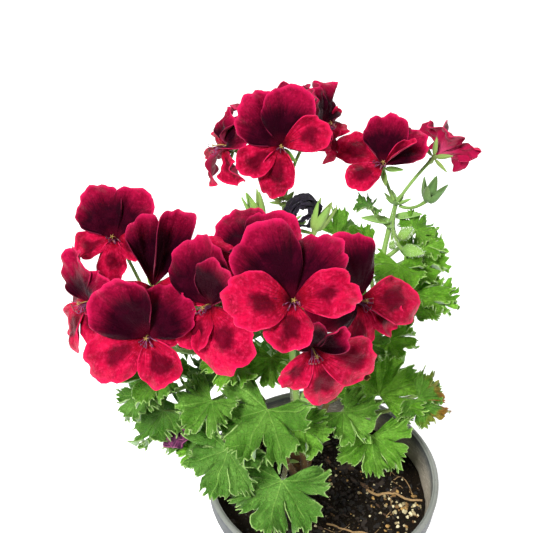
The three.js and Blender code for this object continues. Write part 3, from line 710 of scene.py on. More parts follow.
def lower_petal_finish():
    f = velvet("petal_lower_velvet", 0.08, "f02858", "e02858")
    share = f.marks()[0]
    u, v = f.pattern()
    streak = f.streaks(80, 2.4)
    clouds = f.noise(90)
    red = f.mix(f.between(clouds, 0.3, 0.7), tint("72041e"), tint("a60a33"))
    red = f.mix(f.rest(f.between(v, 0.12, 0.42)), red, tint("86081c"))
    red = velvet_ground(f, red, streak, "d02c58", (0.35, "5c0214"), (0.2, "5c0210"), "b4123e")
    aside = f.math("DIVIDE", f.minus(u, 0.5), 0.11)
    out = f.math("DIVIDE", f.minus(v, 0.52), 0.24)
    away = f.math("SQRT", f.plus(f.times(aside, aside), f.times(out, out)))
    away = f.plus(away, f.times(f.minus(clouds, 0.5), 2.2))
    colour = f.over(red, f.rest(f.between(away, 0.45, 1.2)), 0.85, "30020c")
    veins = f.between(f.math("SINE", f.plus(f.times(u, 150), f.times(streak, 3))), 0.6, 1.0)
    colour = f.over(colour, f.times(veins, f.rest(f.between(v, 0.3, 0.62))), 0.7, "52040f")
    colour = f.over(colour, f.rest(f.between(v, 0.05, 0.24)), 0.85, "340310")
    # A painted highlight along the petal's thin edge, laid on as a lighter pink rim.
    colour = f.over(colour, f.between(share, 0.97, 1.0), 0.12, "d84070")
    return f.finish(colour, velvet_rise(f, streak), 0.0007, 0.8)


def petal_back_finish():
    f = Finish("petal_back_satin", Roughness=0.55, Sheen_Weight=0.05, Subsurface_Weight=0.06,
               Specular_Tint=tint("d04068"), **PETAL_GLOW)
    v = f.pattern()[1]
    streak = f.streaks(40, 1.6, 3.0, 0.6)
    colour = f.mix(streak, tint("6a0626"), tint("96103a"))
    colour = f.mix(f.rest(f.between(v, 0.1, 0.45)), colour, tint("963050"))
    return f.finish(colour, streak, 0.0002, 0.5)


def crepe_finish(name, dark, light, edge):
    f = Finish(name, Roughness=0.7, Sheen_Weight=0.04, Specular_IOR_Level=0.2)
    share = f.marks()[0]
    creases = f.noise(700, 4.0, 0.7, (1, 1, 0.4))
    colour = f.mix(f.between(creases, 0.35, 0.7), tint(dark), tint(light))
    return f.finish(f.mix(f.between(share, 0.9, 1.0), colour, tint(edge)), creases, 0.0008, 1.0)


def leaf_veins(f):
    """How near a point of a blade is to its main veins, to the side veins off them and to the net."""
    u, v = f.pattern()
    lobe = f.minus(f.math("FRACT", f.times(u, LOBES)), 0.5)
    angle = f.times(lobe, LOBE_ANGLE * DEGREE)
    along = f.times(v, f.math("COSINE", angle))
    aside = f.times(v, f.math("ABSOLUTE", f.math("SINE", angle)))
    main_vein = f.rest(f.between(aside, 0.004, 0.016))
    slant = f.minus(along, f.times(aside, CHEVRON_SLANT))
    phase = f.math("FRACT", f.plus(f.times(slant, CHEVRONS), 0.5))
    side_vein = f.rest(f.between(f.math("ABSOLUTE", f.minus(phase, 0.5)), 0.015, 0.06))
    net_vein = f.rest(f.between(f.cells(480, feature="DISTANCE_TO_EDGE"), 0.02, 0.12))
    return main_vein, side_vein, net_vein


def leaf_finish():
    f = Finish("leaf_upper_green", Roughness=0.5, Sheen_Weight=0.04, Sheen_Roughness=0.5,
               Sheen_Tint=tint("c0e090"), Subsurface_Weight=0.08, Subsurface_Scale=0.003,
               Subsurface_Radius=(0.4, 1.0, 0.2), Specular_IOR_Level=0.2, Specular_Tint=tint("c8e890"))
    share, yellow_and_painted_light, dry = f.marks()
    main_vein, side_vein, net_vein = leaf_veins(f)
    patches = f.noise(70)
    mottle = f.noise(420, 2.0)
    # How yellow and light the green is comes from each blade's mark: partly its own tone, partly painted
    # light.
    green = f.mix(yellow_and_painted_light, tint("2c4e22"), tint("4c7c16"))
    green = f.mix(f.between(patches, 0.35, 0.7), green, f.mix(yellow_and_painted_light, tint("466836"), tint("6a9a2c")))
    green = f.over(green, f.between(f.noise(110, 2.0), 0.5, 0.75), 0.45, "1e4410")
    green = f.over(green, f.between(mottle, 0.35, 0.65), 0.25, "285214")
    green = f.over(green, net_vein, 0.1, "7ca444")
    green = f.over(green, side_vein, 0.12, "8ab04c")
    green = f.over(green, main_vein, 0.2, "a0c464")
    # The blade's thin edge is lighter: partly its paler, hairy margin, partly a painted highlight on it.
    green = f.over(green, f.between(share, 0.97, 1.0), 0.36, "b4cc84")
    brown = f.mix(mottle, tint("54300f"), tint("8c5424"))
    burnt = f.times(dry, f.between(f.plus(share, f.times(patches, 0.5)), 0.95, 1.1))
    ribs = f.math("MAXIMUM", side_vein, net_vein)
    rise = f.minus(f.times(f.noise(190, 4.0), 0.9), f.times(ribs, 0.35))
    return f.finish(f.mix(burnt, green, brown), rise, 0.0013, 0.9)


def leaf_under_finish():
    f = Finish("leaf_under_grey_green", Roughness=0.62, Sheen_Weight=0.25, Sheen_Roughness=0.5)
    main_vein, side_vein, net_vein = leaf_veins(f)
    green = f.mix(f.noise(120), tint("6f9560"), tint("8cae78"))
    ribs = f.math("MAXIMUM", main_vein, f.times(f.math("MAXIMUM", side_vein, net_vein), 0.5))
    return f.finish(f.over(green, ribs, 0.7, "b8cf9c"), ribs, 0.0005, 0.7)


def stem_finish(name, young, old, blush, woody_top=0.0, green_from=0.001):
    """A green skin that turns to bark below a height, in metres."""
    f = Finish(name, Roughness=0.6, Sheen_Weight=0.08, Sheen_Roughness=0.5, Specular_IOR_Level=0.25)
    ridges = f.noise(600, stretch=(1, 1, 0.25))
    colour = f.mix(f.noise(60, 2.0), tint(young), tint(old))
    colour = f.over(colour, f.between(f.noise(35, 1.0), 0.5, 0.75), 0.4, blush)
    z = f.parts("XYZ", f.spot(), 3)[2]
    woody = f.rest(f.between(z, woody_top, green_from))
    bark = f.mix(ridges, tint("3e2c18"), tint("84643c"))
    return f.finish(f.mix(woody, colour, bark), ridges, 0.0003, 0.5)


def woody_finish():
    f = Finish("woody_bark", Roughness=0.85)
    rings = f.noise(160, 4.0, 0.65, (1, 1, 5))
    flakes = f.cells(380, (1, 1, 1.8))
    colour = f.mix(f.between(rings, 0.3, 0.7), tint("3c2414"), tint("94683e"))
    colour = f.over(colour, f.between(flakes, 0.3, 0.8), 0.5, "74502e")
    return f.finish(colour, f.plus(rings, f.times(flakes, 0.5)), 0.0008, 0.8)


def soil_finish():
    f = Finish("damp_potting_soil", Roughness=0.9, Specular_IOR_Level=0.12)
    grain = f.noise(900, 5.0, 0.7)
    colour = f.mix(f.between(grain, 0.35, 0.75), tint("080503"), tint("221809"))
    colour = f.over(colour, f.noise(130), 0.5, "100a05")
    colour = f.over(colour, f.rest(f.between(f.cells(700), 0.0, 0.16)), 0.5, "8a6f4c")
    return f.finish(colour, grain, 0.0012, 1.0)


def speckled_finish(name, dark, light, roughness=0.8):
    """Grains, chips and roots: two close colours in specks, lighter or darker from piece to piece."""
    f = Finish(name, Roughness=roughness)
    tone = f.marks()[1]
    specks = f.noise(500, 4.0, 0.65)
    blend = f.plus(f.times(specks, 0.7), f.times(tone, 0.4))
    return f.finish(f.mix(f.between(blend, 0.3, 0.9), tint(dark), tint(light)), specks, 0.0004, 0.7)


def pot_finish():
    """Scuffed grey plastic, with a painted highlight along the top of its rim and a limy, stained band inside
    above the soil.
    """
    f = Finish("pot_grey_plastic", Roughness=0.5, Specular_IOR_Level=0.15)
    clouds = f.noise(45, 4.0, 0.6, (1, 1, 0.5))
    scuffs = f.noise(260, 4.0, 0.7, (1, 1, 6))
    grit = f.noise(700, 3.0, 0.6)
    x, y, z = f.parts("XYZ", f.spot(), 3)
    from_axis = f.math("SQRT", f.plus(f.times(x, x), f.times(y, y)))
    colour = f.mix(f.between(clouds, 0.3, 0.7), tint("3e4244"), tint("5a5e60"))
    # A painted highlight on the top of the rim: a lighter grey ring.
    rim = f.times(f.between(from_axis, 0.0608, 0.0618), f.between(z, 0.1128, 0.1142))
    colour = f.over(colour, rim, 0.6, "84867e")
    past_wall = f.between(f.minus(from_axis, f.plus(f.times(z, 0.1683), 0.045)), -0.0007, -0.0003)
    outside = f.math("MAXIMUM", past_wall, f.between(from_axis, 0.0612, 0.0618))
    inside = f.times(f.between(z, 0.09, 0.0905), f.rest(outside))
    colour = f.over(colour, inside, 0.8, "9c9486")
    colour = f.over(colour, f.times(inside, f.between(scuffs, 0.5, 0.62)), 0.6, "d4cebe")
    stain = f.rest(f.between(f.plus(z, f.times(scuffs, 0.012)), 0.1, 0.116))
    blots = f.times(f.times(inside, stain), f.between(scuffs, 0.35, 0.6))
    colour = f.over(colour, blots, 0.6, "66543c")
    dirt = f.times(f.between(scuffs, 0.52, 0.7), f.between(clouds, 0.4, 0.65))
    colour = f.over(colour, dirt, 0.6, "94846c")
    colour = f.over(colour, f.between(grit, 0.62, 0.7), 0.5, "3c342c")
    rough = f.node("MapRange", {0: scuffs, 3: 0.4, 4: 0.7})
    return f.finish(colour, grit, 0.00015, 0.4, rough)


def floor_finish():
    f = Finish("studio_floor_white", Roughness=0.6, Specular_IOR_Level=0.2, Emission_Strength=0.3)
    return f.finish(f.mix(f.noise(2.0, 2.0), tint("f7f7f7"), tint("fdfdfd")))


POT_PLASTIC = pot_finish()
SOIL = soil_finish()
CREAM_GRAIN = speckled_finish("grain_cream", "7c6c48", "d4c8a0")
TAN_GRAIN = speckled_finish("grain_tan", "5c4020", "a88448")
CRUMB = speckled_finish("soil_crumb", "070402", "241809", 0.92)
BARK_CHIP = speckled_finish("bark_chip", "180e06", "4c3218", 0.85)
ROOT = speckled_finish("root_tan", "4a3420", "96784e")
BARK = woody_finish()
STEM_GREEN = stem_finish("stem_hairy_green", "4c6c2c", "7c9a4c", "6e5234", 0.125, 0.165)
SEPAL_GREEN = stem_finish("sepal_green", "4c7430", "84a44c", "6c5a3a")
CALYX_GREEN = stem_finish("calyx_dark_green", "34542a", "5e7e42", "5c3a34")
STIPULE = stem_finish("stipule_papery", "547c38", "84a454", "7a5630")
HAIR = speckled_finish("plant_hair_white", "d8e4c8", "f4f8ec", 0.5)
LEAF = leaf_finish()
LEAF_UNDER = leaf_under_finish()
PETAL_UPPER = upper_petal_finish()
PETAL_LOWER = lower_petal_finish()
PETAL_BACK = petal_back_finish()
PETAL_WITHERED = crepe_finish("withered_petal_crepe", "060409", "1e1728", "261f30")
CREPES = {
    PURPLE_CREPE: crepe_finish(PURPLE_CREPE, "2c0c28", "6c2c54", "7c3c60"),
    BROWN_CREPE: crepe_finish(BROWN_CREPE, "5a2c14", "a0683c", "b88850"),
}
FILAMENT = speckled_finish("filament_lilac", "2c0a24", "7c3c64", 0.5)
ANTHER = speckled_finish("anther_pollen", "2c0c1c", "9c5c50", 0.7)
STIGMA = speckled_finish("stigma_rose_lime", "6c4420", "a48c48", 0.5)


# Leaves

def tooth_place(step, index):
    """How many teeth lie along the outline up to a step; they are wider here and narrower there."""
    return TEETH_PER_STEP * step + 0.3 * np.sin(1.7 * step + index)


def leaf_outline(step, index):
    """The blade's reach along its outline, as a share of its radius."""
    steps = np.arange(LEAF_STEPS + 1)
    side = 2 * steps / LEAF_STEPS - 1
    overall = 1 - 0.2 * side * side + 0.05 * wobble(index + steps, 1)
    overall = overall + 0.05 * wobble(index, np.floor(steps / LOBE_STEPS) + 31)
    lobe = 1 - 0.14 * np.abs(2 * (steps % LOBE_STEPS) / LOBE_STEPS - 1)
    cut = np.where(steps % LOBE_STEPS == 0, LOBE_SHOULDER, np.where(steps % 2 == 0, NOTCH, 1))
    reach = np.interp(step, steps, overall * lobe * cut)
    from_slit = np.abs((step + LOBE_STEPS / 2) % LOBE_STEPS - LOBE_STEPS / 2)
    inner = np.abs(step - LEAF_STEPS / 2) < LEAF_STEPS / 2 - 1
    depth = LOBE_SLIT * (1 + 0.35 * wobble(index, np.round(step / LOBE_STEPS) + 12))
    reach -= depth * np.maximum(0, 1 - from_slit / SLIT_WIDTH) * inner
    tooth = tooth_place(step, index)
    part = np.where((step / LOBE_STEPS) % 1 < 0.5, tooth % 1, 1 - tooth % 1)
    saw = np.where(part < 0.68, part / 0.68, (1 - part) / 0.32) ** 1.2
    size = SMALL_TOOTH * (0.8 + 0.45 * wobble(np.floor(tooth), index))
    return reach + size * (saw - 0.5)


def leaf_sheet(index, place, heading, pitch, roll, radius, yellow_and_painted_light, dry):
    facing = Facing(place, heading, pitch, roll)

    def shape(across, share):
        around = 1 - across
        step = LEAF_STEPS * around
        turn = LEAF_SWEEP * DEGREE * (2 * around - 1)
        out = share * leaf_outline(step, index)
        lobes = np.arange(-1, LOBES + 1)

        def by_lobe(channel):
            return np.interp(step / LOBE_STEPS - 0.5, lobes, wobble(index, lobes + channel))

        turn = turn + LOBE_SWAY * by_lobe(47) * out ** 2 + 0.04 * out * np.sin(14 * out + 2 * step)
        lobe = ((step / LOBE_STEPS) % 1 - 0.5) * LOBE_ANGLE * DEGREE
        aside = out * np.abs(np.sin(lobe))
        slant = out * np.cos(lobe) - CHEVRON_SLANT * aside
        pleat = LEAF_PLEAT * out * np.cos(2 * np.pi * step / LOBE_STEPS)
        wave = LEAF_WAVE * out ** 2 * np.sin(3 * turn + 3 * wobble(index, 2))
        fall = LEAF_FALL * (out * np.maximum(0, np.cos(turn))) ** 2
        frill = LEAF_FRILL * sum(
            high * share ** edge * np.sin(2 * np.pi * step * often + 5 * wobble(index, channel))
            for high, edge, often, channel in FRILLS)
        frill = frill + TOOTH_CURL * share ** 7 * np.sin(np.pi * tooth_place(step, index))
        ahead, beside = out * np.cos(turn), out * np.sin(turn)
        swell = 0.075 * out * np.sin(7 * ahead + 2 * beside + index) * np.sin(8 * beside + 2 * index)
        swell = swell + 0.028 * out * np.sin(17 * ahead + 3 * index) * np.sin(15 * beside + 3 * ahead)
        lift = LOBE_LIFT * out ** 2 * by_lobe(7)
        groove = -VEIN_GROOVE * np.exp(-(aside / 0.025) ** 2) * np.minimum(1, share * 4)
        quilt = -LEAF_QUILT * np.cos(2 * np.pi * CHEVRONS * slant) * np.minimum(1, aside / 0.08)
        height = LEAF_CUP * out ** 2 + pleat + wave - fall + frill + swell + lift + groove + quilt
        points = facing.point(radius * out * np.cos(turn), radius * out * np.sin(turn), radius * height)
        near_end = np.exp(-((turn / DEGREE - 20) / 60) ** 2) if dry else np.zeros_like(turn)
        marks = np.c_[share, np.full_like(share, yellow_and_painted_light), near_end]
        return points, np.c_[around, out], marks

    grid = WIDE_LEAF_GRID if radius > WIDE_LEAF else LEAF_GRID
    return sheet(*grid, shape, (LEAF, LEAF_UNDER))


def petiole_line(stem, at, place, heading, pitch, roll):
    facing = Facing(place, heading, pitch, roll)
    start, end = stem.at(at), facing.point(0.5, 0, -0.4)
    over = start + 0.55 * (end - start)
    over[2] -= 0.18 * np.linalg.norm(end - start)
    return arc(start, over, end, LIMB_STEPS), np.linspace(*PETIOLE_RADII, LIMB_STEPS + 1)


# Blooms

def wilted(facing, number, grown, angle, out):
    """A petal of the withered bloom: creased, rolled up with the others and bowed over into a hook."""
    angle = angle + 0.4 * out * np.sin(6 * out + 2 * number)
    creases = 0.24 * np.sin(9 * angle + 7 * out + number) + 0.28 * np.sin(4 * angle - 17 * out + 2 * number)
    creases += 0.2 * np.sin(31 * out + 3 * number) + 0.1 * np.sin(23 * angle + 11 * out)
    thick = WITHERED_THICK * (0.3 + out ** 0.5 * (1 - 0.3 * out)) * (1 + creases)
    bow = WITHERED_START + WITHERED_STRETCH * grown * out / WITHERED_BOW
    bent = WITHERED_BOW + thick * np.sin(angle)
    along = bent * np.sin(bow) - WITHERED_BOW * math.sin(WITHERED_START)
    upward = bent * np.cos(bow) - WITHERED_BOW * math.cos(WITHERED_START)
    return facing.point(along, thick * np.cos(angle), upward)


def bloom_number(name, i):
    """The number that a bloom's small differences are read from."""
    return 7 * len(name) + i


def petal_sheet(key, number, facing, width, spread):
    turn, length, half, lean, recurve, front, folding = ARRANGED.get(key, PETALS)[number]
    index = bloom_number(*key)
    ruffling = CRUMPLED_RUFFLING if key in CRUMPLED else 1
    turn += 4 * wobble(index, number + 20)
    grown = length * width * GROWTH.get(key, EVEN)[number] * (1 + 0.03 * wobble(index, number + 30))
    lean += LEANING.get(key, 0)
    twist = 0.09 * wobble(index, number + 40)
    recurve *= 1 + 0.5 * wobble(index, number + 70)
    variety = wobble(index, number)
    half_angle = half * DEGREE

    def shape(across, share):
        around = 1 - 2 * across
        aside = 0.985 * half_angle * np.sin(np.pi / 2 * around)
        angle = turn * DEGREE + aside
        edge = np.cos(np.pi / 2 * aside / half_angle) ** PETAL_BLUNT
        edge *= 1 + 0.045 * np.sin(4 * aside + 4 * variety) + 0.012 * np.sin(11 * aside + index)
        edge *= 1 + 0.014 * np.sin(27 * aside + 3 * number) - 0.045 * np.abs(np.sin(7 * aside + index)) ** 14
        out = share * edge
        pattern = np.c_[0.5 + aside / math.pi, out]
        marks = np.c_[share, np.full_like(share, 0.5 + 0.5 * variety), np.full_like(share, spread)]
        if key == WITHERED:
            return wilted(facing, number, grown, angle, out), pattern, marks
        reach = grown * out
        funnel = FUNNEL_DEPTH * width * (1 - np.exp(-reach / (FUNNEL_WIDTH * width)))
        wave = PETAL_WAVE * width * out ** 2 * np.sin(4 * aside + 3 * wobble(index, turn))
        fold = folding * reach * (1 - np.cos(1.5 * aside / half_angle)) + twist * reach * np.sin(aside)
        ribs = 0.003 * share * (np.sin(43 * aside + 4 * out) + np.sin(29 * aside + 7 * out + number))
        creases = 0.018 * np.sin(9 * out + 7 * aside + 3 * wobble(index, number + 50))
        creases += 0.013 * np.sin(17 * out - 9 * aside + 3 * wobble(index, number + 60))
        ruffle = np.sin(8 * aside + 5 * wobble(index, number + 2))
        ruffle += 0.6 * np.sin(17 * aside + 5 * wobble(index, number + 9))
        relief = width * (ribs + ruffling * (creases * out + PETAL_RUFFLE * ruffle * share ** 3))
        height = funnel + lean * reach - recurve * reach * out + wave + fold + relief
        height = height + front * (0.3 + 0.7 * out) * (1 - np.exp(-reach / 4))
        return facing.point(height, reach * np.cos(angle), reach * np.sin(angle)), pattern, marks

    faces = (PETAL_UPPER if number < 2 else PETAL_LOWER, PETAL_BACK)
    return sheet(*PETAL_GRID, shape, (PETAL_WITHERED, PETAL_WITHERED) if key == WITHERED else faces)


def thicken(piece, thickness):
    apply_modifier(piece, "SOLIDIFY", thickness=thickness * MM, offset=0, material_offset=1,
                   material_offset_rim=0)
    smooth(piece, 60)


def bloom_petals(name, i, bloom):
    place, heading, pitch, roll, width, spread = bloom
    facing = Facing(place, heading, pitch, roll)
    sheets = []
    for number in range(len(PETALS)):
        piece = petal_sheet((name, i), number, facing, width, spread)
        thicken(piece, PETAL_THICKNESS)
        sheets.append(piece)
    slot = "withered_petal" if (name, i) == WITHERED else "petal"
    hand_in(join(sheets), f"petals_{name}_{i + 1}", slot, f"bloom_{name}_{i + 1}")


def stamen_lines(index, facing, width):
    """The curled filaments low in the throat, and the style between them."""
    depth = FUNNEL_DEPTH * width
    filaments = []
    for k in range(FILAMENTS):
        turn = (270 + 17 * (k - 3) + 8 * wobble(index, k)) * DEGREE
        reach = 4.6 + 1.3 * wobble(index + k, 3)
        rise = depth + 1.6 + 1.0 * wobble(index + k, 4)
        curl = [(0.6, 0.4), (0.75 * depth, 1.6), (depth + 1.2, 0.5 * reach), (rise + 0.4, 0.85 * reach),
                (rise + 2.0, reach), (rise + 3.0, 0.82 * reach)]
        points = [facing.point(x, r * math.cos(turn), r * math.sin(turn)) for x, r in curl]
        filaments.append(tapered(points, 14, 0.2, 0.14))
    top = [(0.6, 0, 0.3), (0.8 * depth, 0, 0.4), (depth + 1, 0, -0.4), (depth + 2.6, 0.2, -1.0)]
    styles = [tapered([facing.point(*p) for p in top], 10, 0.28, 0.22)]
    tip = top[-1]
    for k in range(STIGMA_ARMS):
        turn = 360 / STIGMA_ARMS * k * DEGREE
        c, s = math.cos(turn), math.sin(turn)
        hook = [tip, (tip[0] + 0.7, tip[1] + 0.3 * c, tip[2] + 0.3 * s),
                (tip[0] + 0.9, tip[1] + 0.9 * c, tip[2] + 0.9 * s),
                (tip[0] + 0.4, tip[1] + 1.2 * c, tip[2] + 1.2 * s)]
        styles.append(tapered([facing.point(*p) for p in hook], 6, 0.16, 0.1))
    return filaments, styles


# Shapes that are modelled once and copied

def pointed_blade(name, width, cup, material, thickness):
    """A lance-shaped blade of unit length along x, hollowed along its middle."""
    def shape(across, along):
        side = 1 - 2 * across
        half = width * np.sin(np.pi * np.clip(along, 0, 1) ** 0.75) ** 0.8 * (1 - 0.35 * along)
        x = along + 0.02 * np.sin(np.pi * along)
        z = cup * (side ** 2 - 1) * half / width - 0.25 * cup * along ** 2
        points = np.c_[x, side * half, z]
        return points / MM, np.c_[across, along], np.c_[along, across, across]
    blade = sheet(*BLADE_GRID, shape, (material,))
    apply_modifier(blade, "SOLIDIFY", thickness=thickness, offset=0)
    smooth(blade, 60)
    blade.name = name
    return blade


def bud_swell(along):
    return np.sin(np.pi * np.clip(along, 0, 1) ** 0.72) ** 1.15


def closed_bud():
    """A bud of unit length along x: five sepals closed to a point, with a rib along each."""
    def shape(across, along):
        turn = 2 * np.pi * across
        out = BUD_RADIUS * bud_swell(along) * (0.9 + 0.13 * np.abs(np.cos(2.5 * turn)) ** 3)
        points = np.c_[along, out * np.cos(turn), out * np.sin(turn)]
        return points / MM, np.c_[across, along], np.c_[along, across, across]
    bud = sheet(*BUD_GRID, shape, (SEPAL_GREEN,))
    edit(bud)
    bpy.ops.mesh.normals_make_consistent(inside=False)
    done()
    bud.name = "bud"
    return bud


def rough_lump(name, material, subdivisions, roughness, seed):
    bpy.ops.object.select_all(action="DESELECT")
    bpy.ops.mesh.primitive_ico_sphere_add(subdivisions=subdivisions, radius=1)
    lump = bpy.context.object
    lump.name = name
    points = places(lump.data)
    grown = [1 + roughness * noise.noise(Vector(p) * 1.3 + Vector((seed, 0, 0))) for p in points]
    set_places(lump.data, points * np.array(grown)[:, None])
    lump.data.materials.append(material)
    return lump


def hair_source():
    """A hair of unit length along z: a slim spike."""
    hair = turned([(HAIR_FOOT / MM, 0), (HAIR_TIP / MM, 1 / MM)], HAIR_SIDES)
    hair.data.materials.append(HAIR)
    return hair


def hairs_on(lines, per_mm, rng):
    """Where the hairs of some limbs stand: on their skin, pointing out and a little forward."""
    matrices = []
    for points, radii in lines:
        points = np.array(points)
        steps = np.diff(points, axis=0)
        lengths = np.linalg.norm(steps, axis=1)
        count = int(per_mm * lengths.sum())
        spots = rng.uniform(0, lengths.sum(), count)
        ends = np.cumsum(lengths)
        for spot in spots:
            k = min(int(np.searchsorted(ends, spot)), len(steps) - 1)
            part = 1 - (ends[k] - spot) / lengths[k]
            axis = Vector(steps[k]).normalized()
            out = axis.orthogonal().normalized()
            out.rotate(Matrix.Rotation(rng.uniform(0, 2 * math.pi), 3, axis))
            skin = Vector(points[k] + part * steps[k]) + out * radii[k] * 0.85
            aim = (out + axis * rng.uniform(-0.2, 0.6)).normalized()
            size = Matrix.Scale(HAIR_LENGTH * rng.uniform(0.6, 1.2) * MM, 4)
            stand = aim.to_track_quat("Z", "Y").to_matrix().to_4x4()
            matrices.append(Matrix.Translation(skin * MM) @ stand @ size)
    return matrices


# Leafy stems

def stem_radii(radii, leaves):
    """Tapered radii, swollen a little at each node where a petiole leaves."""
    share = np.linspace(0, 1, STEM_STEPS + 1)
    swell = sum(0.16 * np.exp(-((share - leaf[0]) / 0.022) ** 2) for leaf in leaves)
    return (radii[0] + (radii[1] - radii[0]) * share) * (1 + swell)


def off_knob(umbel, over):
    """Where a stalk that makes for a point leaves the knob of its umbel."""
    return umbel + (over - umbel) * KNOB / np.linalg.norm(over - umbel)


def stalk_line(place, heading, pitch, roll, umbel):
    facing = Facing(place, heading, pitch, roll)
    end = facing.point(-1.0, 0, 0)
    over = facing.point(-13, 0, 0)
    over = over + 0.3 * (umbel - over)
    radii = np.interp(np.linspace(0, 1, LIMB_STEPS + 1), [0, 0.75, 0.93, 1], [0.95, 0.9, 1.25, 1.9])
    return arc(off_knob(umbel, over), over, end, LIMB_STEPS), radii


def sepal_matrices(place, heading, pitch, roll, opening, size):
    """Where the sepals stand round the calyx cup, opened by an angle."""
    facing = Facing(place, heading, pitch, roll)
    matrices = []
    for k in range(SEPALS):
        turn = Matrix.Rotation((90 + 360 / SEPALS * k) * DEGREE, 4, "X")
        stand = Matrix(((0, 0, 1, 0), (1, 0, 0, 0), (0, 1, 0, 0), (0, 0, 0, 1)))
        out = Matrix.Translation((0, 1.3 * MM, 0))
        upright = stand @ Matrix.Rotation(-opening * DEGREE, 4, "Y")
        grown = Matrix.Scale(size * SEPAL_LENGTH * MM, 4)
        matrices.append(facing.matrix(-2.4) @ turn @ out @ upright @ grown)
    return matrices


def bud_line(place, heading, pitch, umbel):
    facing = Facing(place, heading, pitch)
    over = facing.point(-6, 0, 0)
    over = over + 0.4 * (umbel - over)
    line = Bend([off_knob(umbel, over), over, facing.point(0, 0, 0), facing.point(2, 0, 0)])
    radii = np.interp(np.linspace(0, 1, BUD_STEPS + 1), [0, 0.8, 1], [0.75, 0.8, 1.2])
    return line.line(BUD_STEPS), radii


def leafy_stem(name, order, shapes, rng):
    line, radii = STEMS[name]
    stem = Bend(line)
    tip = np.array(line[-1], float)
    blades = []
    limbs = [(stem.line(STEM_STEPS), stem_radii(radii, LEAVES[name]))]
    sepals = {"sepal": [], "broad_sepal": []}
    small_blades = []
    for i, leaf in enumerate(LEAVES[name]):
        at, place, heading, pitch, roll, radius, yellow_and_painted_light, dry = leaf
        blades.append(leaf_sheet(10 * order + i, place, heading, pitch, roll, radius, yellow_and_painted_light, dry))
        petiole, thickness = petiole_line(stem, at, place, heading, pitch, roll)
        limbs.append((petiole, thickness))
        way = petiole[3] - petiole[0]
        flat = math.degrees(math.atan2(way[1], way[0]))
        for side in (-70, 70):
            facing = Facing(stem.at(at), flat + side, 35 + 15 * wobble(i, order + 3))
            small_blades.append(facing.matrix(1.4, 0, 0, STIPULE_LENGTH * MM))
    blooms = [(*bloom[:4], *OPEN_SEPALS) for bloom in BLOOMS.get(name, [])]
    blooms += [(*spent[:3], 0, *spent[3:]) for spent in SPENT.get(name, [])]
    for place, heading, pitch, roll, opening, size, shape in blooms:
        limbs.append(stalk_line(place, heading, pitch, roll, tip))
        sepals[shape] += sepal_matrices(place, heading, pitch, roll, opening, size)
    buds, bud_skins = [], []
    for place, heading, pitch, length in BUDS.get(name, []):
        limbs.append(bud_line(place, heading, pitch, tip))
        facing = Facing(place, heading, pitch)
        buds.append(facing.matrix(size=length * MM))
        along = np.linspace(0.05, 0.95, 12)
        skin = [facing.point(x * length, 0, 0) for x in along]
        bud_skins.append((skin, BUD_RADIUS * length * bud_swell(along)))
    for place, heading, pitch, length in BRACTS.get(name, []):
        small_blades.append(Facing(place, heading, pitch).matrix(size=length * MM))
    if blooms:
        for k in range(COLLAR_BLADES):
            facing = Facing(tip, COLLAR_TURN * k, 30 + 14 * wobble(k, order))
            small_blades.append(facing.matrix(1.2, 0, -0.6, COLLAR_LENGTH * MM))
    piece = join(blades)
    thicken(piece, LEAF_THICKNESS)
    hand_in(piece, f"leaves_{name}", "leaf", f"leafy_stem_{name}")
    parts = [tubes(limbs, STEM_GREEN), repeat(shapes["stipule"], small_blades)]
    parts += [repeat(shapes[shape], around) for shape, around in sepals.items() if around]
    if buds:
        parts.append(repeat(shapes["bud"], buds))
    hairs = hairs_on(limbs, STALK_HAIRS_PER_MM, rng) + hairs_on(bud_skins, BUD_HAIRS_PER_MM, rng)
    parts.append(repeat(shapes["hair"], hairs))
    hand_in(join(parts), f"stalks_{name}", "leaf", f"leafy_stem_{name}")


def throat_parts(name, shapes):
    filaments, styles, anthers = [], [], []
    for i, bloom in enumerate(BLOOMS[name]):
        if (name, i) == WITHERED:
            continue
        place, heading, pitch, roll, width = bloom[:5]
        facing = Facing(place, heading, pitch, roll)
        some, style = stamen_lines(bloom_number(name, i), facing, width)
        filaments += some
        styles += style
        for points, _ in some:
            aim = Vector(points[-1] - points[-3]).to_track_quat("X", "Z").to_matrix().to_4x4()
            stretch = Matrix.Diagonal((0.7 * MM, 0.26 * MM, 0.3 * MM, 1))
            anthers.append(Matrix.Translation(Vector(points[-1]) * MM) @ aim @ stretch)
    parts = [tubes(filaments, FILAMENT, 1), tubes(styles, STIGMA, 1), repeat(shapes["anther"], anthers)]
    hand_in(join(parts), f"throats_{name}", "petal")


def fallen_bits():
    """Withered petals that lie where they dropped, each on a leaf."""
    pieces = []
    for number, (stem, leaf, x, y, turn, length, width, finish) in enumerate(FALLEN):
        facing = Facing(*LEAVES[stem][leaf][1:5])
        c, s = math.cos(turn * DEGREE), math.sin(turn * DEGREE)

        def shape(across, share):
            along = length * (across - 0.5)
            ragged = 1 + 0.22 * np.sin(17 * across + number) + 0.12 * np.sin(31 * across + 2 * share)
            aside = width * (share - 0.5) * np.sqrt(1.02 - (2 * across - 1) ** 2) * ragged
            crease = 1.4 * np.sin(21 * across + 5 * share) * np.sin(9 * share + number)
            lift = FALLEN_LIFT + crease + 1.2 * (2 * share - 1) ** 2
            points = facing.point(x + c * along - s * aside, y + s * along + c * aside, lift)
            return points, np.c_[across, share], np.c_[np.abs(2 * share - 1), across, across]

        piece = sheet(*FALLEN_GRID, shape, (CREPES[finish],))
        thicken(piece, PETAL_THICKNESS)
        pieces.append(piece)
    hand_in(join(pieces), "fallen_petals", "withered_petal")


# Pot, soil and woody base

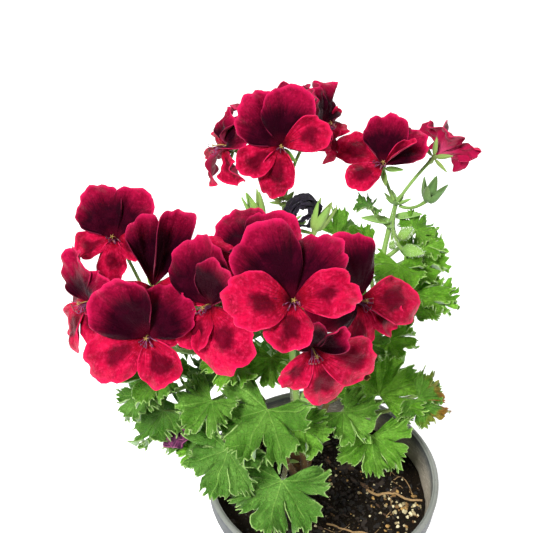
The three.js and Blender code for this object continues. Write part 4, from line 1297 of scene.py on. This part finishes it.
# What lies on the soil: its material, how round and how rough it is, where its roughness is read, and its
# heaps, each with how many there are, their middle, their spread, their smallest and largest size, and their
# shape
LITTER = {
    "crumbs": (CRUMB, 1, 0.8, 3, [(1500, (0, 0), 57, (0.4, 1.5), (1, 0.9, 0.7))]),
    "grains": (CREAM_GRAIN, 2, 0.55, 9, [(40, (45, -17), 13, (0.7, 1.6), (1, 0.85, 0.75)),
                                         (80, (20, -5), 52, (0.3, 1.0), (1, 0.9, 0.8))]),
    "tans": (TAN_GRAIN, 2, 0.7, 21, [(30, (45, -12), 16, (0.7, 1.6), (1, 0.8, 0.7)),
                                     (70, (15, 0), 54, (0.3, 1.1), (1, 0.8, 0.6))]),
    "chips": (BARK_CHIP, 2, 0.9, 30, [(70, (5, 0), 55, (1.2, 3.6), (1, 0.5, 0.28))]),
}


def plastic_pot():
    band_wall = pot_wall(BAND_FOOT)
    profile = [
        (CENTRE_FOOT_RADIUS, 0), (CENTRE_FOOT_RADIUS + 1, FOOT_RECESS), (FOOT_RADIUS - 6, FOOT_RECESS),
        (FOOT_RADIUS - 5, 0), (FOOT_RADIUS, 0), (band_wall, BAND_FOOT), (RIM_RADIUS - 1.2, BAND_FOOT),
        (RIM_RADIUS - 0.9, BAND_FOOT + 1.2), (RIM_RADIUS - 0.35, POT_HEIGHT - 4.2),
        (RIM_RADIUS, POT_HEIGHT - 3.2), (RIM_RADIUS, POT_HEIGHT - 1.0), (RIM_RADIUS - 0.9, POT_HEIGHT),
        (RIM_RADIUS - 2.0, POT_HEIGHT), (RIM_RADIUS - 2.5, POT_HEIGHT - 0.7),
        (RIM_RADIUS - RIM_LIP, POT_HEIGHT - 0.9), (RIM_RADIUS - 3.8, BAND_FOOT + 1),
        (band_wall - POT_WALL, BAND_FOOT - 1), (pot_wall(FLOOR_TOP) - POT_WALL, FLOOR_TOP),
    ]
    piece = turned(profile, POT_SIDES)
    holes = []
    out, up = DRAIN_CIRCLE_RADIUS * MM, DRILL_DEPTH / 2 * MM
    for k in range(DRAIN_HOLES):
        turn = 2 * math.pi * k / DRAIN_HOLES
        bpy.ops.object.select_all(action="DESELECT")
        bpy.ops.mesh.primitive_cylinder_add(
            vertices=DRILL_SIDES, radius=DRAIN_HOLE_RADIUS * MM, depth=DRILL_DEPTH * MM,
            location=(out * math.cos(turn), out * math.sin(turn), up))
        holes.append(bpy.context.object)
    drill = join(holes)
    apply_modifier(piece, "BOOLEAN", operation="DIFFERENCE", object=drill, solver="EXACT")
    discard(drill)
    apply_modifier(piece, "BEVEL", width=0.5 * MM, segments=3, limit_method="ANGLE", angle_limit=25 * DEGREE)
    piece.data.materials.append(POT_PLASTIC)
    smooth(piece, 40)
    hand_in(piece, "plastic_pot", "pot_plastic", "pot")


def potting_soil(rng):
    bottom = FLOOR_TOP + SEAT_GAP
    outer = soil_inside(SOIL_TOP)
    rings = np.linspace(outer, 1.2, SOIL_RINGS)
    profile = [(soil_inside(z), z) for z in (bottom, SOIL_SHOULDER)] + [(r, SOIL_TOP) for r in rings]
    piece = turned(profile, SOIL_SIDES)
    points = places(piece.data) / MM
    for p in points:
        if p[2] > SOIL_TOP - 1:
            p[2] = soil_height(p[0], p[1])
    set_places(piece.data, points * MM)
    piece.data.materials.append(SOIL)
    smooth(piece, 70)
    parts = [piece]
    for name, (material, subdivisions, roughness, seed, heaps) in LITTER.items():
        lump = rough_lump(name, material, subdivisions, roughness, seed)
        parts.append(repeat(lump, [lying for heap in heaps for lying in scattered(rng, *heap)]))
        discard(lump)
    parts.append(tubes(root_lines(rng), ROOT, 1))
    hand_in(join(parts), "potting_soil", "soil", "soil")


def scattered(rng, count, centre, spread, sizes, squash):
    """Places on the soil round a centre, each turned and sized a little differently."""
    matrices = []
    trunk_x, trunk_y = TRUNK_LINE[1][:2]
    while len(matrices) < count:
        x, y = rng.normal(centre[0], spread / 2), rng.normal(centre[1], spread / 2)
        size = sizes[0] + (sizes[1] - sizes[0]) * rng.random() ** 2
        beyond = math.hypot(x, y) > soil_inside(SOIL_TOP) - size - 0.5
        if beyond or math.hypot(x - trunk_x, y - trunk_y) < TRUNK_CLEARING:
            continue
        turn = Matrix.Rotation(rng.uniform(*ANY_TURN), 4, "Z")
        turn = turn @ Matrix.Rotation(rng.uniform(-0.5, 0.5), 4, "X")
        lie = Vector((x, y, soil_height(x, y) + 0.35 * size * squash[2])) * MM
        flat = Matrix.Diagonal((*(size * share * MM for share in squash), 1))
        matrices.append(Matrix.Translation(lie) @ turn @ flat)
    return matrices


def root_lines(rng):
    ways = list(LONG_ROOTS)
    for _ in range(ROOT_BITS):
        x, y = rng.uniform(-40, 45, 2)
        heading = rng.uniform(*ANY_TURN)
        turns = [heading + 0.3 * j for j in range(4)]
        bits = [(x + 5 * j * math.cos(turn), y + 5 * j * math.sin(turn)) for j, turn in enumerate(turns)]
        if all(math.hypot(*p) < ROOT_REACH for p in bits):
            ways.append((bits, rng.uniform(0.15, 0.35), 0.12))
    lines = []
    for way, thick, thin in ways:
        flat = Bend([(x, y, 0) for x, y in way]).line(ROOT_STEPS)
        points = [(x, y, soil_height(x, y) + 0.6 * thick) for x, y, _ in flat]
        lines.append((points, np.linspace(thick, thin, ROOT_STEPS + 1)))
    return lines


def woody_stub():
    line = Bend(TRUNK_LINE).line(TRUNK_STEPS)
    share = np.linspace(0, 1, TRUNK_STEPS + 1)
    rings = 0.16 * np.abs(np.sin(share * 46)) ** 3 + 0.10 * np.sin(share * 19)
    radii = TRUNK_RADII[0] + (TRUNK_RADII[1] - TRUNK_RADII[0]) * share + rings
    piece = tubes([(line, radii)], BARK, 6)
    points = places(piece.data)
    grown = [0.5 * MM * noise.fractal(Vector(p) / MM * BARK_LUMPS, 0.7, 2.0, 3) for p in points]
    centres = np.array([line[int(np.argmin(np.linalg.norm(line * MM - p, axis=1)))] * MM for p in points])
    out = points - centres
    out /= np.linalg.norm(out, axis=1, keepdims=True) + 1e-9
    set_places(piece.data, points + out * np.array(grown)[:, None])
    smooth(piece, 70)
    hand_in(piece, "woody_stub", "woody_stem", "woody_base")


def studio():
    bpy.ops.object.select_all(action="DESELECT")
    bpy.ops.mesh.primitive_plane_add(size=FLOOR_SIZE)
    floor = bpy.context.object
    floor.name = "studio_floor"
    floor.data.materials.append(floor_finish())
    world = bpy.data.worlds.new("studio_air")
    bpy.context.scene.world = world
    world.use_nodes = True
    background = world.node_tree.nodes["Background"]
    background.inputs["Color"].default_value = (1.0, 1.0, 1.0, 1.0)
    background.inputs["Strength"].default_value = AIR_LIGHT
    for name, (place, size, power) in LAMPS.items():
        lamp = bpy.data.lights.new(name, "AREA")
        lamp.size = size
        lamp.energy = power
        light = bpy.data.objects.new(name, lamp)
        light.location = place
        light.rotation_euler = (Vector(LAMP_AIM) - Vector(place)).to_track_quat("-Z", "Y").to_euler()
        bpy.context.collection.objects.link(light)
    camera = bpy.data.objects.new("camera", bpy.data.cameras.new("camera"))
    camera.location = CAMERA_PLACE
    camera.rotation_euler = ((90 - CAMERA_DOWN) * DEGREE, 0, 0)
    camera.data.sensor_width = SENSOR_WIDTH
    camera.data.lens = SENSOR_WIDTH * FOCAL_PIXELS / FRAME_PIXELS
    bpy.context.collection.objects.link(camera)
    bpy.context.scene.camera = camera
    bpy.context.scene.view_settings.view_transform = "Standard"


def main():
    rng = np.random.default_rng(RANDOM_SEED)
    shapes = {
        "stipule": pointed_blade("stipule", 0.26, 0.12, STIPULE, 0.035),
        "sepal": pointed_blade("sepal", 0.16, 0.12, SEPAL_GREEN, 0.05),
        "broad_sepal": pointed_blade("broad_sepal", 0.22, 0.16, CALYX_GREEN, 0.05),
        "bud": closed_bud(),
        "anther": rough_lump("anther", ANTHER, 1, 0.1, 1),
        "hair": hair_source(),
    }
    plastic_pot()
    potting_soil(rng)
    woody_stub()
    for order, name in enumerate(STEMS):
        leafy_stem(name, order, shapes, rng)
    for name, blooms in BLOOMS.items():
        for i, bloom in enumerate(blooms):
            bloom_petals(name, i, bloom)
        throat_parts(name, shapes)
    fallen_bits()
    for source in shapes.values():
        discard(source)
    studio()


main()
